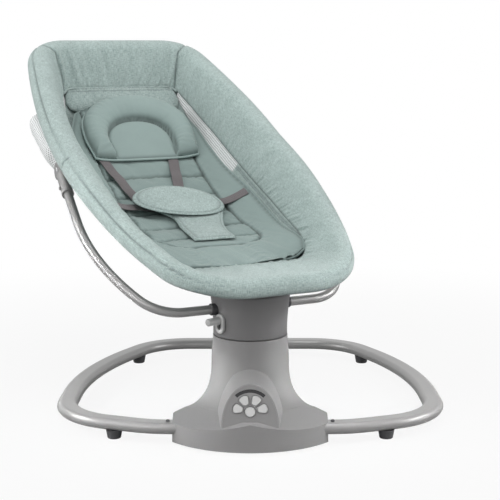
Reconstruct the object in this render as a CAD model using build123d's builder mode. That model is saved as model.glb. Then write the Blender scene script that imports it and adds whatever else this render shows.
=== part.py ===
"""Baby swing: an egg-shaped seat on a hub that sways from side to side over a ring base."""

import os
from math import atan2, cos, degrees, hypot, pi, radians, sin, tan

from build123d import *

os.makedirs("parts", exist_ok=True)

# Origin on the floor under the hub axis, +X to the right, +Y to the back, +Z up, millimetres.

# Pose at rest
SWING = 27.0
RECLINE = 27.0

# Clearances
SKIN = 0.3
RUN = 0.05
SLIP = 0.1
SEAM = 1.0

# Heights that follow the seat
SEAT_HEIGHT = 423.0
PIVOT_DROP = 29.6
ARM_DROP = 226.0
ARM_Z = SEAT_HEIGHT - ARM_DROP
HUB_RISE = 27.0
HUB_TOP = ARM_Z + HUB_RISE
DECK_DROP = 46.0
DECK_Z = ARM_Z - DECK_DROP

# Pedestal
SKIRT_R = 160.0
SKIRT_BOTTOM = 3.0
RIDGE_R = 155.0
RIDGE_Z = 45.5
COLUMN_R = 60.0
DECK_THICK = 5.0
FLARE_RISE = [(130.0, 0.005), (105.0, 0.042), (85.0, 0.196), (72.0, 0.402), (64.5, 0.645)]
FLARE = [(radius, RIDGE_Z + (DECK_Z - RIDGE_Z) * share) for radius, share in FLARE_RISE]
SHOULDER_LOW = 33.0
SHOULDER_R_IN = 105.0
PLAN = [(121, -70), (62, -40), (62, 100)]
PLAN_BENDS = [5, 24, 22]
SIDE_X = 121.0
HOUSING_WALL = 3.0
CAVITY_TOP = DECK_Z - DECK_THICK
TOWER_R = 24.0
TOWER_BOTTOM = 60.0
RIB_THICK = 3.0
SOCKET_DEPTH = 46.0
SOCKET_BOSS = 50.0

# Console on the front of the pedestal
PANEL_TILT = 28.0
PANEL_Y = -146.0
PANEL_Z = 40.0
ARCH_HALF = 44.0
ARCH_HEIGHT = 66.0
ARCH_FOOT = 5.0
ARCH_LIP = 1.6
PANEL_THICK = 2.2
PANEL_LEDGE = 4.5
CONSOLE_DEPTH = 46.0
CONSOLE_SPREAD = 10.0
CONSOLE_RISE = 38.0
CONSOLE_HOLLOW = 46.0
BUTTON_GAP = 1.3
BUTTON_PROUD = 1.6
BUTTON_R = 7.6
BUTTON_UP = 22.5
PETAL_RING = 19.2
PETAL_LOW = 14.0
PETAL_HIGH = 63.0
PETAL_INNER = 7.0
PETAL_OUTER = 15.5
PETAL_LONG = 14.6
PETAL_ROUND = 3.2
FLANGE = 1.2
FLANGE_THICK = 1.2
BUTTON_TRAVEL = 1.2
BUTTON_EDGE = 0.9
STEM_R = 2.0
BOARD_DEPTH = 9.0
BOARD_THICK = 1.6
WINDOW_R = 35.5
WINDOW_BAND = 5.5
WINDOW_ANGLE = 42.0
WINDOW_THICK = 1.0

# Base ring
TUBE_WIDE = 34.0
TUBE_TALL = 18.0
TUBE_WALL = 1.5
TUBE_Z = 23.0
RING_FRONT_Y = -91.0
RING_REAR_Y = 460.0
RING_CORNERS = [(78, RING_FRONT_Y), (153.5, RING_FRONT_Y), (303.5, -36.5), (301, 241), (184, RING_REAR_Y)]
RING_BENDS = [170, 115, 600, 110]
JOINER_LONG = 110.0
FOOT_FRONT = (214.0, -73.5)
FOOT_REAR = (216.0, 400.0)
FOOT_TOP_R = 13.0
FOOT_R = 10.5
FOOT_ROUND = 2.0
LOCK_BUTTON_X = 128.5
LOCK_BUTTON_R = 3.2
LOCK_BUTTON_PROUD = 3.0

# Parts inside the pedestal
PLATE_THICK = 3.0
PAD_R = 32.0
SPINDLE_R = 10.0
BEARING_R = 16.0
BEARING_TALL = 12.0
UPPER_BEARING_Z = DECK_Z - 19.0
LOWER_BEARING_Z = 62.0
GEAR_MODULE = 1.5
GEAR_TEETH = 60
PINION_TEETH = 15
GEAR_Z = 46.0
GEAR_THICK = 11.0
GEAR_SPREAD = 0.25
MOTOR_R = 20.0
MOTOR_TOP = 42.0
MOTOR_SHAFT_R = 3.0
SPEAKER_R = 24.0
SPEAKER_AT = (0.0, -88.0)
SPEAKER_TALL = 16.0
INLET_R = 7.0
INLET_Z = 22.0
INLET_LONG = 20.0

# Hub
HUB_BOTTOM = DECK_Z + SEAM
HUB_LOW_R = 59.5
HUB_HIGH_R = 64.0
HUB_CAVITY_R = 51.0
HUB_FLOOR = 10.0
CAP_THICK = 5.0
SHOULDER_R = 14.0
SPINDLE_FLANGE_R = 32.0
ESCUTCHEON_TALL = 32.0
ESCUTCHEON_WIDE = 20.0
ESCUTCHEON_THICK = 4.0
ESCUTCHEON_OUT = 64.5
ESCUTCHEON_UP = 24.0
ESCUTCHEON_Z = HUB_BOTTOM + ESCUTCHEON_UP
LEVER_TURN = 13.0
LEVER_R = 6.0
LEVER_OUT = 88.0
LEVER_SHANK_R = 4.0
LEVER_TRAVEL = 10.0
LEVER_Z = ESCUTCHEON_Z + LEVER_TRAVEL / 2

# Arms
ARM_R = 7.5
ARM_WALL = 1.5
ARM_START = 24.0
ARM_CORNER = 160.0
ARM_KNEE = (227.5, 134.0)
ARM_BEND = 70.0
KNEE_BEND = 366.0
ARM_BOSS_R = 11.0
COLLAR_R = 9.6
COLLAR_IN = 58.0
COLLAR_OUT = 71.0

# Side connectors and the pivots of the seat
SOCKET_R = 10.5
SOCKET_LONG = 44.0
PIVOT_BACK = 323.7
PIVOT_RISE = SEAT_HEIGHT - PIVOT_DROP - ARM_Z
PIVOT_T = hypot(PIVOT_BACK, PIVOT_RISE)
ARM_RISE = degrees(atan2(PIVOT_RISE, PIVOT_BACK))
ARM_END = (207.0, PIVOT_T - 28.0)
PIVOT_V = 204.0
PIVOT_R = 15.5
PIVOT_THICK = 13.0
PIN_R = 4.0
PIN_HEAD_R = 7.0
PIN_HEAD = 2.5
RIVET_R = 3.2
RIVET_BACK = 20.0
RIVET_PROUD = 1.2
BRACKET_THICK = 6.0
SLEEVE_R = 12.0
SLEEVE_LONG = 40.0
SLEEVE_GAP = 1.3
HOOP_START = 0.8

# Seat frame, measured in the plane of the rim: across the seat, along it to the head, up from it
SEAT_BACK = 293.0
HEAD_CURL = 2.7
FOOT_CURL = 3.1
HOOP_R = 8.0
HOOP_WALL = 1.5
HOOP_SPLIT = 14.0
HOOP_SPLIT_V = 200.0
HEAD_RIM = [(197, 85), (176, 225), (150, 335)]
HEAD_BENDS = [600, 600, 62]
FOOT_RIM = [(202, 110), (182, 290), (128, 441)]
FOOT_BENDS = [700, 500, 110]
ROLL_R = 23.0
ROLL_SKIN = 0.8
ROLL_GAP = 21.0

# Fabric of the seat
SLING_WALL = 5.0
WALL_DEPTH = 130.0
WALL_HALF = 124.0
WALL_HEAD = 240.0
WALL_FOOT = -300.0
PAN = [(-398, 12), (-330, -44), (-230, -66), (-110, -105), (0, -118), (100, -110), (180, -88), (240, -62),
       (290, -34), (322, 4)]
MESH_FOOT = -12.0
MESH_HEAD = 226.0
MESH_LOW = -74.0
MESH_HIGH = -34.0
PAD_THICK = 15.0
PAD_STATIONS = [(-344, 62), (-326, 98), (-290, 117), (-200, 120), (-60, 119), (80, 114), (180, 106),
                (222, 92), (238, 66)]
PAD_CHANNELS = [-245, -180, -120, -60, 5, 65]
CHANNEL_R = 3.5
CHANNEL_HALF = 76.0
PILLOW_LOW = 104.0
PILLOW_HIGH = 238.0
PILLOW_HALF = 103.0
PILLOW_THICK = 24.0
PILLOW_DISH = 11.0
DISH_HALF = 58.0
DISH_LOW = 112.0
DISH_HIGH = 192.0

# Harness
WEB_WIDE = 20.0
WEB_THICK = 2.0
SHOULDER_LEFT = ((-88, 112), (-60, -22))
SHOULDER_RIGHT = ((54, 112), (22, -22))
WAIST_U = -44.0
WAIST_IN = 34.0
WAIST_OUT = 122.0
CROTCH_THICK = 5.0
CROTCH_WING = 88.0
CROTCH_WING_U = -60.0
CROTCH_NECK = 39.0
CROTCH_NECK_U = -128.0
CROTCH_END_U = -206.0
BUCKLE_U = -50.0
BUCKLE_TILT = -6.5
BUCKLE_WIDE = 62.0
BUCKLE_LONG = 44.0
BUCKLE_THICK = 12.0
RELEASE_WIDE = 26.0
RELEASE_TALL = 7.0
RELEASE_LONG = 14.0
RELEASE_PROUD = 3.0
RELEASE_TRAVEL = 2.0
OVAL_HALF = 82.0
OVAL_LONG = 36.0
OVAL_THICK = 10.0

# Heights above the floor of the sling
PAD_AT = SKIN
WEB_AT = PAD_AT + PAD_THICK + SKIN
CROTCH_AT = WEB_AT + WEB_THICK + SKIN
BUCKLE_GAP = 0.65
OVAL_GAP = 0.45
BUCKLE_AT = CROTCH_AT + CROTCH_THICK + BUCKLE_GAP
OVAL_AT = BUCKLE_AT + BUCKLE_THICK + OVAL_GAP
PILLOW_AT = WEB_AT + WEB_THICK + SKIN

# Frames: the hub turned by the swing, the plane of the arms, the plane of the rim, the seat's middle plane
lateral = Vector(cos(radians(SWING)), sin(radians(SWING)), 0)
rearward = Vector(-sin(radians(SWING)), cos(radians(SWING)), 0)
upward = Vector(0, 0, 1)
HUB = Plane(origin=(0, 0, 0), x_dir=lateral, z_dir=upward)
ARM = Plane(
    origin=(0, 0, ARM_Z),
    x_dir=lateral,
    z_dir=upward * cos(radians(ARM_RISE)) - rearward * sin(radians(ARM_RISE)),
)
seat_along = rearward * cos(radians(RECLINE)) + upward * sin(radians(RECLINE))
seat_up = upward * cos(radians(RECLINE)) - rearward * sin(radians(RECLINE))
seat_origin = rearward * SEAT_BACK + upward * SEAT_HEIGHT
SEAT = Plane(origin=seat_origin, x_dir=lateral, z_dir=seat_up)
HEAD = Plane(
    origin=seat_origin + seat_along * HOOP_SPLIT,
    x_dir=lateral,
    z_dir=seat_up * cos(radians(HEAD_CURL)) - seat_along * sin(radians(HEAD_CURL)),
)
FOOT = Plane(
    origin=seat_origin + seat_along * HOOP_SPLIT,
    x_dir=lateral * -1,
    z_dir=seat_up * cos(radians(FOOT_CURL)) + seat_along * sin(radians(FOOT_CURL)),
)
MID = Plane(origin=seat_origin, x_dir=seat_along, z_dir=lateral)
PANEL = Plane(
    origin=(0, PANEL_Y, PANEL_Z),
    x_dir=(1, 0, 0),
    z_dir=(0, -cos(radians(PANEL_TILT)), sin(radians(PANEL_TILT))),
)
PANEL_AXIS = Axis(PANEL.origin, PANEL.z_dir)
pivot_point = ARM.from_local_coords(Vector(0, PIVOT_T, 0))
pivot_local = SEAT.to_local_coords(pivot_point)
pan_line = Spline(*PAN)
pan_trace = [pan_line @ (i / 300) for i in range(301)]
GEAR_SPAN = GEAR_MODULE * (GEAR_TEETH + PINION_TEETH) / 2 + GEAR_SPREAD


def save(part, name):
    """Labels one piece and writes its file."""
    part.label = name
    export_step(part, f"parts/{name}.step")


def swept(path, outer, inner):
    """Round tube along a path."""
    mouth = Plane(origin=path @ 0, z_dir=path % 0)
    with BuildPart() as tube:
        with BuildSketch(mouth):
            Circle(outer)
        sweep(path=path)
        with BuildSketch(mouth):
            Circle(inner)
        sweep(path=path, mode=Mode.SUBTRACT)
    return tube.part


def hoop_path(plane, corners, bends, start):
    """Centreline of one hoop of the rim, from one side round to the other, begun a little way along."""
    slant = (corners[0][0] - HOOP_SPLIT_V) / corners[0][1]
    side = [(HOOP_SPLIT_V + slant * start, start)] + corners
    with BuildLine(plane) as path:
        FilletPolyline(
            *side,
            *[(-v, y) for v, y in reversed(side)],
            radius=bends + bends[::-1],
        )
    return path.wire()


def rim_corners():
    """Corners of the rim's outline in its own plane and their bends, once round from the foot."""
    head = [(v, HOOP_SPLIT + y) for v, y in HEAD_RIM]
    foot = [(v, HOOP_SPLIT - y) for v, y in reversed(FOOT_RIM)]
    right = foot + head
    bends = FOOT_BENDS[::-1] + HEAD_BENDS
    return right + [(-v, u) for v, u in reversed(right)], bends + bends[::-1]


def inset_outline(distance):
    """The rim's outline with every side moved inwards."""
    corners, bends = rim_corners()
    moved = []
    for i, (x, y) in enumerate(corners):
        ways = []
        for (x0, y0), (x1, y1) in ((corners[i - 1], (x, y)), ((x, y), corners[(i + 1) % len(corners)])):
            length = hypot(x1 - x0, y1 - y0)
            ways.append(((x1 - x0) / length, (y1 - y0) / length))
        (ax, ay), (bx, by) = ways
        share = distance / (1 + ax * bx + ay * by)
        moved.append((x - (ay + by) * share, y + (ax + bx) * share))
    return moved, [bend - distance for bend in bends]


def scaled_outline(half, head, foot):
    """The rim's outline drawn to another width and length."""
    corners, bends = rim_corners()
    widest = max(v for v, u in corners)
    top = max(u for v, u in corners)
    low = min(u for v, u in corners)
    scale = half / widest
    return (
        [(v * scale, foot + (u - low) * (head - foot) / (top - low)) for v, u in corners],
        [bend * scale for bend in bends],
    )


def pan_height(along):
    """Height of the sling's floor at one place along the seat."""
    for a, b in zip(pan_trace, pan_trace[1:]):
        if a.X <= along <= b.X:
            return a.Y + (b.Y - a.Y) * (along - a.X) / (b.X - a.X)
    return pan_trace[-1].Y


def rim_height(along):
    """Height of the rim's centreline over its mean plane."""
    curl = HEAD_CURL if along > HOOP_SPLIT else FOOT_CURL
    return abs(along - HOOP_SPLIT) * sin(radians(curl))


def arch(plane, inset):
    """Outline of the console on a plane, moved in by a margin."""
    half = ARCH_HALF - inset
    low = inset - ARCH_FOOT
    with BuildSketch(plane) as outline:
        with BuildLine():
            Line((-half, low), (-half, 0))
            EllipticalCenterArc((0, 0), half, ARCH_HEIGHT - inset, start_angle=0, arc_size=180)
            Polyline((half, 0), (half, low), (-half, low))
        make_face()
    return outline.sketch


def console_root():
    """Outline at which the console's mound meets the column."""
    half = ARCH_HALF + CONSOLE_SPREAD
    with BuildSketch(PANEL.offset(-CONSOLE_DEPTH)) as outline:
        with BuildLine():
            Line((-half, -ARCH_FOOT), (-half, 0))
            EllipticalCenterArc((0, 0), half, ARCH_HEIGHT + CONSOLE_RISE, start_angle=0, arc_size=180)
            Polyline((half, 0), (half, -ARCH_FOOT), (-half, -ARCH_FOOT))
        make_face()
    return outline.sketch


def crescent(plane, outer, inner, spread):
    """Outline of the crescent over the buttons, between two radii."""
    with BuildSketch(plane) as outline:
        with BuildLine():
            for radius in (outer, inner):
                CenterArc((0, BUTTON_UP), radius, 90 - spread, 2 * spread)
            for a in (90 - spread, 90 + spread):
                Line(
                    (outer * cos(radians(a)), BUTTON_UP + outer * sin(radians(a))),
                    (inner * cos(radians(a)), BUTTON_UP + inner * sin(radians(a))),
                )
        make_face()
    return outline.sketch


def housing_plan(plane, inset):
    """Outline of the pedestal's foot from above: a fan to the front and a tongue to the back."""
    right = [(v - inset, u - inset) for v, u in PLAN]
    corners = [(PLAN[0][0] - inset, -300)] + right
    corners += [(-v, u) for v, u in reversed(corners)]
    with BuildSketch(plane) as outline:
        with BuildLine():
            FilletPolyline(*corners, radius=[0] + PLAN_BENDS + PLAN_BENDS[::-1] + [0], close=True)
        make_face()
    return outline.sketch


# Base of the swing

with BuildPart() as shoulder_cut:
    corner = Vector(SIDE_X, -(RIDGE_R**2 - SIDE_X**2) ** 0.5, SHOULDER_LOW)
    front = Vector(0, -RIDGE_R, RIDGE_Z)
    inner = corner * (SHOULDER_R_IN / RIDGE_R)
    inner.Z = FLARE[1][1]
    slope = (corner - front).cross(inner - front).normalized()
    with BuildSketch(Plane(origin=front, z_dir=slope)):
        Rectangle(4 * SKIRT_R, 4 * SKIRT_R)
    extrude(amount=SKIRT_R)
    with BuildSketch(Plane.XY):
        Circle(SHOULDER_R_IN)
    extrude(amount=2 * SKIRT_R, mode=Mode.SUBTRACT)
    with BuildSketch(Plane.XY.offset(-SKIRT_R)):
        with Locations((-SKIRT_R, 0)):
            Rectangle(2 * SKIRT_R, 6 * SKIRT_R)
    extrude(amount=4 * SKIRT_R, mode=Mode.SUBTRACT)

with BuildPart() as housing_cavity:
    with BuildSketch(Plane.XZ):
        with BuildLine():
            cavity_base = Line((0, 0), (SKIRT_R - HOUSING_WALL, 0))
            cavity_skirt = Line(cavity_base @ 1, (RIDGE_R - HOUSING_WALL, RIDGE_Z - HOUSING_WALL))
            cavity_flare = Spline(
                cavity_skirt @ 1,
                *[(r - HOUSING_WALL, z - HOUSING_WALL) for r, z in FLARE],
                (COLUMN_R - HOUSING_WALL, CAVITY_TOP),
                tangents=[(-1, 0.05), (-0.02, 1)],
            )
            Line(cavity_flare @ 1, (0, CAVITY_TOP))
            Line((0, CAVITY_TOP), (0, 0))
        make_face()
    revolve(axis=Axis.Z)
    extrude(housing_plan(Plane.XY, HOUSING_WALL), amount=200, mode=Mode.INTERSECT)
    lowered = shoulder_cut.part.moved(Location((0, 0, -HOUSING_WALL)))
    add(lowered, mode=Mode.SUBTRACT)
    add(mirror(lowered, Plane.YZ), mode=Mode.SUBTRACT)
    socket_x = SIDE_X - SOCKET_BOSS / 2
    with Locations((socket_x, RING_FRONT_Y, 30), (-socket_x, RING_FRONT_Y, 30)):
        Box(SOCKET_BOSS, TUBE_WIDE + 2 * HOUSING_WALL, 60, mode=Mode.SUBTRACT)
    with BuildSketch(Plane.XY.offset(TOWER_BOTTOM)):
        Circle(TOWER_R)
    extrude(amount=DECK_Z - TOWER_BOTTOM, mode=Mode.SUBTRACT)
    with Locations((0, 0, (TOWER_BOTTOM + DECK_Z) / 2)):
        Box(300, RIB_THICK, DECK_Z - TOWER_BOTTOM, mode=Mode.SUBTRACT)
        Box(RIB_THICK, 300, DECK_Z - TOWER_BOTTOM, mode=Mode.SUBTRACT)

with BuildPart() as console_mound:
    loft(sections=[arch(PANEL, 0).face(), console_root().face()])

with BuildPart() as pedestal_housing:
    with BuildSketch(Plane.XZ):
        with BuildLine():
            outer_base = Line((0, SKIRT_BOTTOM), (SKIRT_R, SKIRT_BOTTOM))
            outer_skirt = Line(outer_base @ 1, (RIDGE_R, RIDGE_Z))
            outer_flare = Spline(
                outer_skirt @ 1,
                *FLARE,
                (COLUMN_R, DECK_Z),
                tangents=[(-1, 0.05), (-0.02, 1)],
            )
            Line(outer_flare @ 1, (0, DECK_Z))
            Line((0, DECK_Z), (0, SKIRT_BOTTOM))
        make_face()
    revolve(axis=Axis.Z)
    extrude(housing_plan(Plane.XY, 0), amount=200, mode=Mode.INTERSECT)
    add(shoulder_cut.part, mode=Mode.SUBTRACT)
    add(mirror(shoulder_cut.part, Plane.YZ), mode=Mode.SUBTRACT)
    add(console_mound.part)
    add(housing_cavity.part, mode=Mode.SUBTRACT)
    extrude(arch(PANEL, ARCH_LIP), amount=-PANEL_THICK, mode=Mode.SUBTRACT)
    extrude(arch(PANEL, PANEL_LEDGE), amount=-CONSOLE_HOLLOW, mode=Mode.SUBTRACT)
    with BuildSketch(Plane.XY.offset(TOWER_BOTTOM)):
        Circle(BEARING_R)
    extrude(amount=DECK_Z - TOWER_BOTTOM + 1, mode=Mode.SUBTRACT)
    for side in (-1, 1):
        mouth = Plane(origin=(side * (SIDE_X + 1), RING_FRONT_Y, TUBE_Z), x_dir=(0, 1, 0), z_dir=(side, 0, 0))
        with BuildSketch(mouth):
            SlotOverall(TUBE_WIDE + 2 * SLIP, TUBE_TALL + 2 * SLIP)
        extrude(amount=-SOCKET_DEPTH - 1, mode=Mode.SUBTRACT)
    with BuildSketch(Plane(origin=(0, PLAN[-1][1] + 1, INLET_Z), x_dir=(-1, 0, 0), z_dir=(0, 1, 0))):
        Circle(INLET_R + SLIP)
    extrude(amount=-20, mode=Mode.SUBTRACT)
save(pedestal_housing.part, "pedestal_housing")

with BuildPart() as base_plate:
    with BuildSketch(Plane.XY.offset(SKIRT_BOTTOM)):
        Circle(SKIRT_R - HOUSING_WALL - 1)
        add(housing_plan(Plane.XY, HOUSING_WALL + SLIP), mode=Mode.INTERSECT)
        for side in (-1, 1):
            with Locations((side * (SIDE_X - SOCKET_BOSS / 2), RING_FRONT_Y)):
                Rectangle(
                    SOCKET_BOSS + 2 * SLIP,
                    TUBE_WIDE + 2 * HOUSING_WALL + 2 * SLIP,
                    mode=Mode.SUBTRACT,
                )
        with Locations(SPEAKER_AT):
            with GridLocations(0, 7, 1, 5):
                SlotOverall(30, 3, mode=Mode.SUBTRACT)
    extrude(amount=PLATE_THICK)
save(base_plate.part, "base_plate")

with BuildPart() as floor_pad:
    with BuildSketch():
        Circle(PAD_R)
    extrude(amount=SKIRT_BOTTOM)
save(floor_pad.part, "floor_pad")


def ring_tube(side):
    """One loop of the base ring, from its socket in the pedestal to the middle of the back."""
    with BuildPart() as tube:
        with BuildLine(Plane.XY.offset(TUBE_Z)) as path:
            FilletPolyline(
                *[(side * x, y) for x, y in RING_CORNERS],
                (side * SLIP, RING_REAR_Y),
                radius=RING_BENDS,
            )
        mouth = Plane(origin=path.wire() @ 0, x_dir=(0, 1, 0), z_dir=path.wire() % 0)
        with BuildSketch(mouth):
            SlotOverall(TUBE_WIDE, TUBE_TALL)
        sweep(path=path.wire())
        with BuildSketch(mouth):
            SlotOverall(TUBE_WIDE - 2 * TUBE_WALL, TUBE_TALL - 2 * TUBE_WALL)
        sweep(path=path.wire(), mode=Mode.SUBTRACT)
        with BuildSketch(Plane.XY.offset(TUBE_Z)):
            with Locations((side * LOCK_BUTTON_X, RING_FRONT_Y)):
                Circle(LOCK_BUTTON_R + SKIN)
        extrude(amount=TUBE_TALL, mode=Mode.SUBTRACT)
    return tube.part


def lock_button(side):
    """Domed spring button in the top of a loop, with the flange that keeps it inside the tube."""
    with BuildPart() as button:
        with BuildSketch(Plane.XY.offset(TUBE_Z + TUBE_TALL / 2 - TUBE_WALL - SKIN - FLANGE_THICK)):
            with Locations((side * LOCK_BUTTON_X, RING_FRONT_Y)):
                Circle(LOCK_BUTTON_R + FLANGE)
        extrude(amount=FLANGE_THICK)
        with BuildSketch(Plane.XY.offset(TUBE_Z + TUBE_TALL / 2 - TUBE_WALL - SKIN)):
            with Locations((side * LOCK_BUTTON_X, RING_FRONT_Y)):
                Circle(LOCK_BUTTON_R)
        extrude(amount=TUBE_WALL + SKIN + LOCK_BUTTON_PROUD)
        fillet(button.edges().group_by(Axis.Z)[-1], LOCK_BUTTON_R * 0.6)
    return button.part


for side, word in ((-1, "left"), (1, "right")):
    save(ring_tube(side), f"ring_tube_{word}")
    save(lock_button(side), f"lock_button_{word}")

with BuildPart() as ring_joiner:
    with BuildSketch(Plane(origin=(-JOINER_LONG / 2, RING_REAR_Y, TUBE_Z), x_dir=(0, 1, 0), z_dir=(1, 0, 0))):
        SlotOverall(TUBE_WIDE - 2 * TUBE_WALL - 2 * SLIP, TUBE_TALL - 2 * TUBE_WALL - 2 * SLIP)
        SlotOverall(TUBE_WIDE - 5 * TUBE_WALL, TUBE_TALL - 5 * TUBE_WALL, mode=Mode.SUBTRACT)
    extrude(amount=JOINER_LONG)
save(ring_joiner.part, "ring_joiner")


def foot(side, place):
    """Tapered rubber foot under the flat of the tube."""
    with BuildPart() as rubber:
        with BuildSketch():
            with Locations((side * place[0], place[1])):
                Circle(FOOT_R)
        with BuildSketch(Plane.XY.offset(TUBE_Z - TUBE_TALL / 2)):
            with Locations((side * place[0], place[1])):
                Circle(FOOT_TOP_R)
        loft()
        fillet(rubber.edges().group_by(Axis.Z)[0], FOOT_ROUND)
    return rubber.part


for end, place in (("front", FOOT_FRONT), ("rear", FOOT_REAR)):
    for side, word in ((-1, "left"), (1, "right")):
        save(foot(side, place), f"foot_{end}_{word}")


# Control console

BUTTONS = [
    ("centre", (0.0, BUTTON_UP), None),
    *[
        (word, (PETAL_RING * cos(radians(a)), BUTTON_UP + PETAL_RING * sin(radians(a))), a)
        for word, a in (
            ("left_low", 180 - PETAL_LOW),
            ("left_high", 180 - PETAL_HIGH),
            ("right_high", PETAL_HIGH),
            ("right_low", PETAL_LOW),
        )
    ],
]


def button_face(plane, centre, heading, grow):
    """Round or petal outline of a button on a plane, grown by a margin."""
    with BuildSketch(plane) as outline:
        if heading is None:
            with Locations(centre):
                Circle(BUTTON_R + grow)
        else:
            inner = PETAL_INNER / 2 + grow
            outer = PETAL_OUTER / 2 + grow
            half = PETAL_LONG / 2 + grow
            turn = Location((centre[0], centre[1], 0), (0, 0, heading))
            corner = [(half * 0.55, outer), (-half, inner), (-half, -inner), (half * 0.55, -outer), (half, 0)]
            a, b, c, d, tip = [(turn * Location((x, y, 0))).position for x, y in corner]
            with BuildLine():
                Polyline(a, b, c, d)
                ThreePointArc(d, tip, a)
            make_face()
            fillet(outline.vertices(), PETAL_ROUND + grow)
    return outline.sketch


def panel_button(centre, heading):
    """Push button: cap through the panel, flange behind it and a stem towards the board."""
    with BuildPart() as button:
        extrude(
            button_face(PANEL.offset(-PANEL_THICK - SKIN), centre, heading, 0),
            amount=PANEL_THICK + SKIN + BUTTON_PROUD,
        )
        fillet(button.edges().group_by(PANEL_AXIS)[-1], BUTTON_EDGE)
        extrude(
            button_face(PANEL.offset(-PANEL_THICK - SKIN - FLANGE_THICK), centre, heading, FLANGE),
            amount=FLANGE_THICK,
        )
        with BuildSketch(PANEL.offset(-BOARD_DEPTH + BUTTON_TRAVEL + SKIN)):
            with Locations(centre):
                Circle(STEM_R)
        extrude(amount=BOARD_DEPTH - BUTTON_TRAVEL - SKIN - PANEL_THICK - SKIN)
    return button.part


with BuildPart() as control_panel:
    extrude(arch(PANEL, ARCH_LIP + SLIP), amount=-PANEL_THICK)
    for word, centre, heading in BUTTONS:
        extrude(
            button_face(PANEL, centre, heading, BUTTON_GAP),
            amount=-PANEL_THICK,
            mode=Mode.SUBTRACT,
        )
    extrude(
        crescent(PANEL, WINDOW_R, WINDOW_R - WINDOW_BAND, WINDOW_ANGLE),
        amount=-WINDOW_THICK,
        mode=Mode.SUBTRACT,
    )
save(control_panel.part, "control_panel")

with BuildPart() as crescent_window:
    extrude(
        crescent(
            PANEL.offset(-WINDOW_THICK), WINDOW_R - SLIP, WINDOW_R - WINDOW_BAND + SLIP, WINDOW_ANGLE - 0.3
        ),
        amount=WINDOW_THICK - SKIN,
    )
save(crescent_window.part, "crescent_window")

for word, centre, heading in BUTTONS:
    save(panel_button(centre, heading), f"button_{word}")

with BuildPart() as control_board:
    extrude(arch(PANEL.offset(-BOARD_DEPTH), PANEL_LEDGE + SLIP), amount=-BOARD_THICK)
    for word, centre, heading in BUTTONS:
        with BuildSketch(PANEL.offset(-BOARD_DEPTH - BOARD_THICK)):
            with Locations(centre):
                Rectangle(6, 6)
        extrude(amount=-3.5)
save(control_board.part, "control_board")


# Drive inside the pedestal

def gear_outline(teeth):
    """Corners of a spur gear with straight flanks, a tooth on local +X."""
    pitch = GEAR_MODULE * teeth / 2
    tip = pitch + GEAR_MODULE * 0.85
    root = pitch - GEAR_MODULE * 1.2
    half = GEAR_MODULE * pi / 4 - 0.16
    corners = []
    for i in range(teeth):
        middle = 2 * pi * i / teeth
        for radius, sign in ((root, -1), (tip, -1), (tip, 1), (root, 1)):
            turn = middle + sign * (half - (radius - pitch) * tan(radians(20))) / radius
            corners.append((radius * cos(turn), radius * sin(turn)))
    return corners


with BuildPart() as motor_pinion:
    with BuildSketch(Plane.XY.offset(GEAR_Z)):
        with Locations(Location((0, GEAR_SPAN, 0), (0, 0, -90 + 180 / PINION_TEETH))):
            Polygon(*gear_outline(PINION_TEETH), align=None)
    extrude(amount=GEAR_THICK)
    with BuildSketch(Plane.XY.offset(MOTOR_TOP - 8)):
        with Locations((0, GEAR_SPAN)):
            Circle(MOTOR_SHAFT_R)
    extrude(amount=GEAR_Z - MOTOR_TOP + 8)
save(motor_pinion.part, "motor_pinion")

with BuildPart() as gear_motor:
    with BuildSketch(Plane.XY.offset(SKIRT_BOTTOM + PLATE_THICK)):
        with Locations((0, GEAR_SPAN)):
            SlotOverall(2 * MOTOR_R + 26, 16)
    extrude(amount=3)
    with BuildSketch(Plane.XY.offset(SKIRT_BOTTOM + PLATE_THICK)):
        with Locations((0, GEAR_SPAN)):
            Circle(MOTOR_R)
    extrude(amount=MOTOR_TOP - SKIRT_BOTTOM - PLATE_THICK)
    fillet(gear_motor.edges().group_by(Axis.Z)[-1], 2)
    with BuildSketch(Plane.XY.offset(MOTOR_TOP - 9)):
        with Locations((0, GEAR_SPAN)):
            Circle(MOTOR_SHAFT_R + RUN)
    extrude(amount=9, mode=Mode.SUBTRACT)
save(gear_motor.part, "gear_motor")

for place, level in (("upper", UPPER_BEARING_Z), ("lower", LOWER_BEARING_Z)):
    with BuildPart() as bearing:
        with BuildSketch(Plane.XY.offset(level)):
            Circle(BEARING_R - SLIP / 2)
            Circle(SPINDLE_R + RUN, mode=Mode.SUBTRACT)
        extrude(amount=BEARING_TALL)
        with BuildSketch(Plane.XY.offset(level + BEARING_TALL)):
            Circle((BEARING_R + SPINDLE_R) / 2 + 1.2)
            Circle((BEARING_R + SPINDLE_R) / 2 - 1.2, mode=Mode.SUBTRACT)
        extrude(amount=-0.6, mode=Mode.SUBTRACT)
    save(bearing.part, f"bearing_{place}")

with BuildPart() as speaker:
    with BuildSketch(Plane.XY.offset(SKIRT_BOTTOM + PLATE_THICK)):
        with Locations(SPEAKER_AT):
            Circle(SPEAKER_R)
    extrude(amount=4)
    with BuildSketch(Plane.XY.offset(SKIRT_BOTTOM + PLATE_THICK + 4)):
        with Locations(SPEAKER_AT):
            Circle(SPEAKER_R - 2)
    with BuildSketch(Plane.XY.offset(SKIRT_BOTTOM + PLATE_THICK + SPEAKER_TALL - 6)):
        with Locations(SPEAKER_AT):
            Circle(SPEAKER_R * 0.5)
    loft()
    with BuildSketch(Plane.XY.offset(SKIRT_BOTTOM + PLATE_THICK + SPEAKER_TALL - 6)):
        with Locations(SPEAKER_AT):
            Circle(SPEAKER_R * 0.5)
    extrude(amount=6)
save(speaker.part, "speaker")

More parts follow.
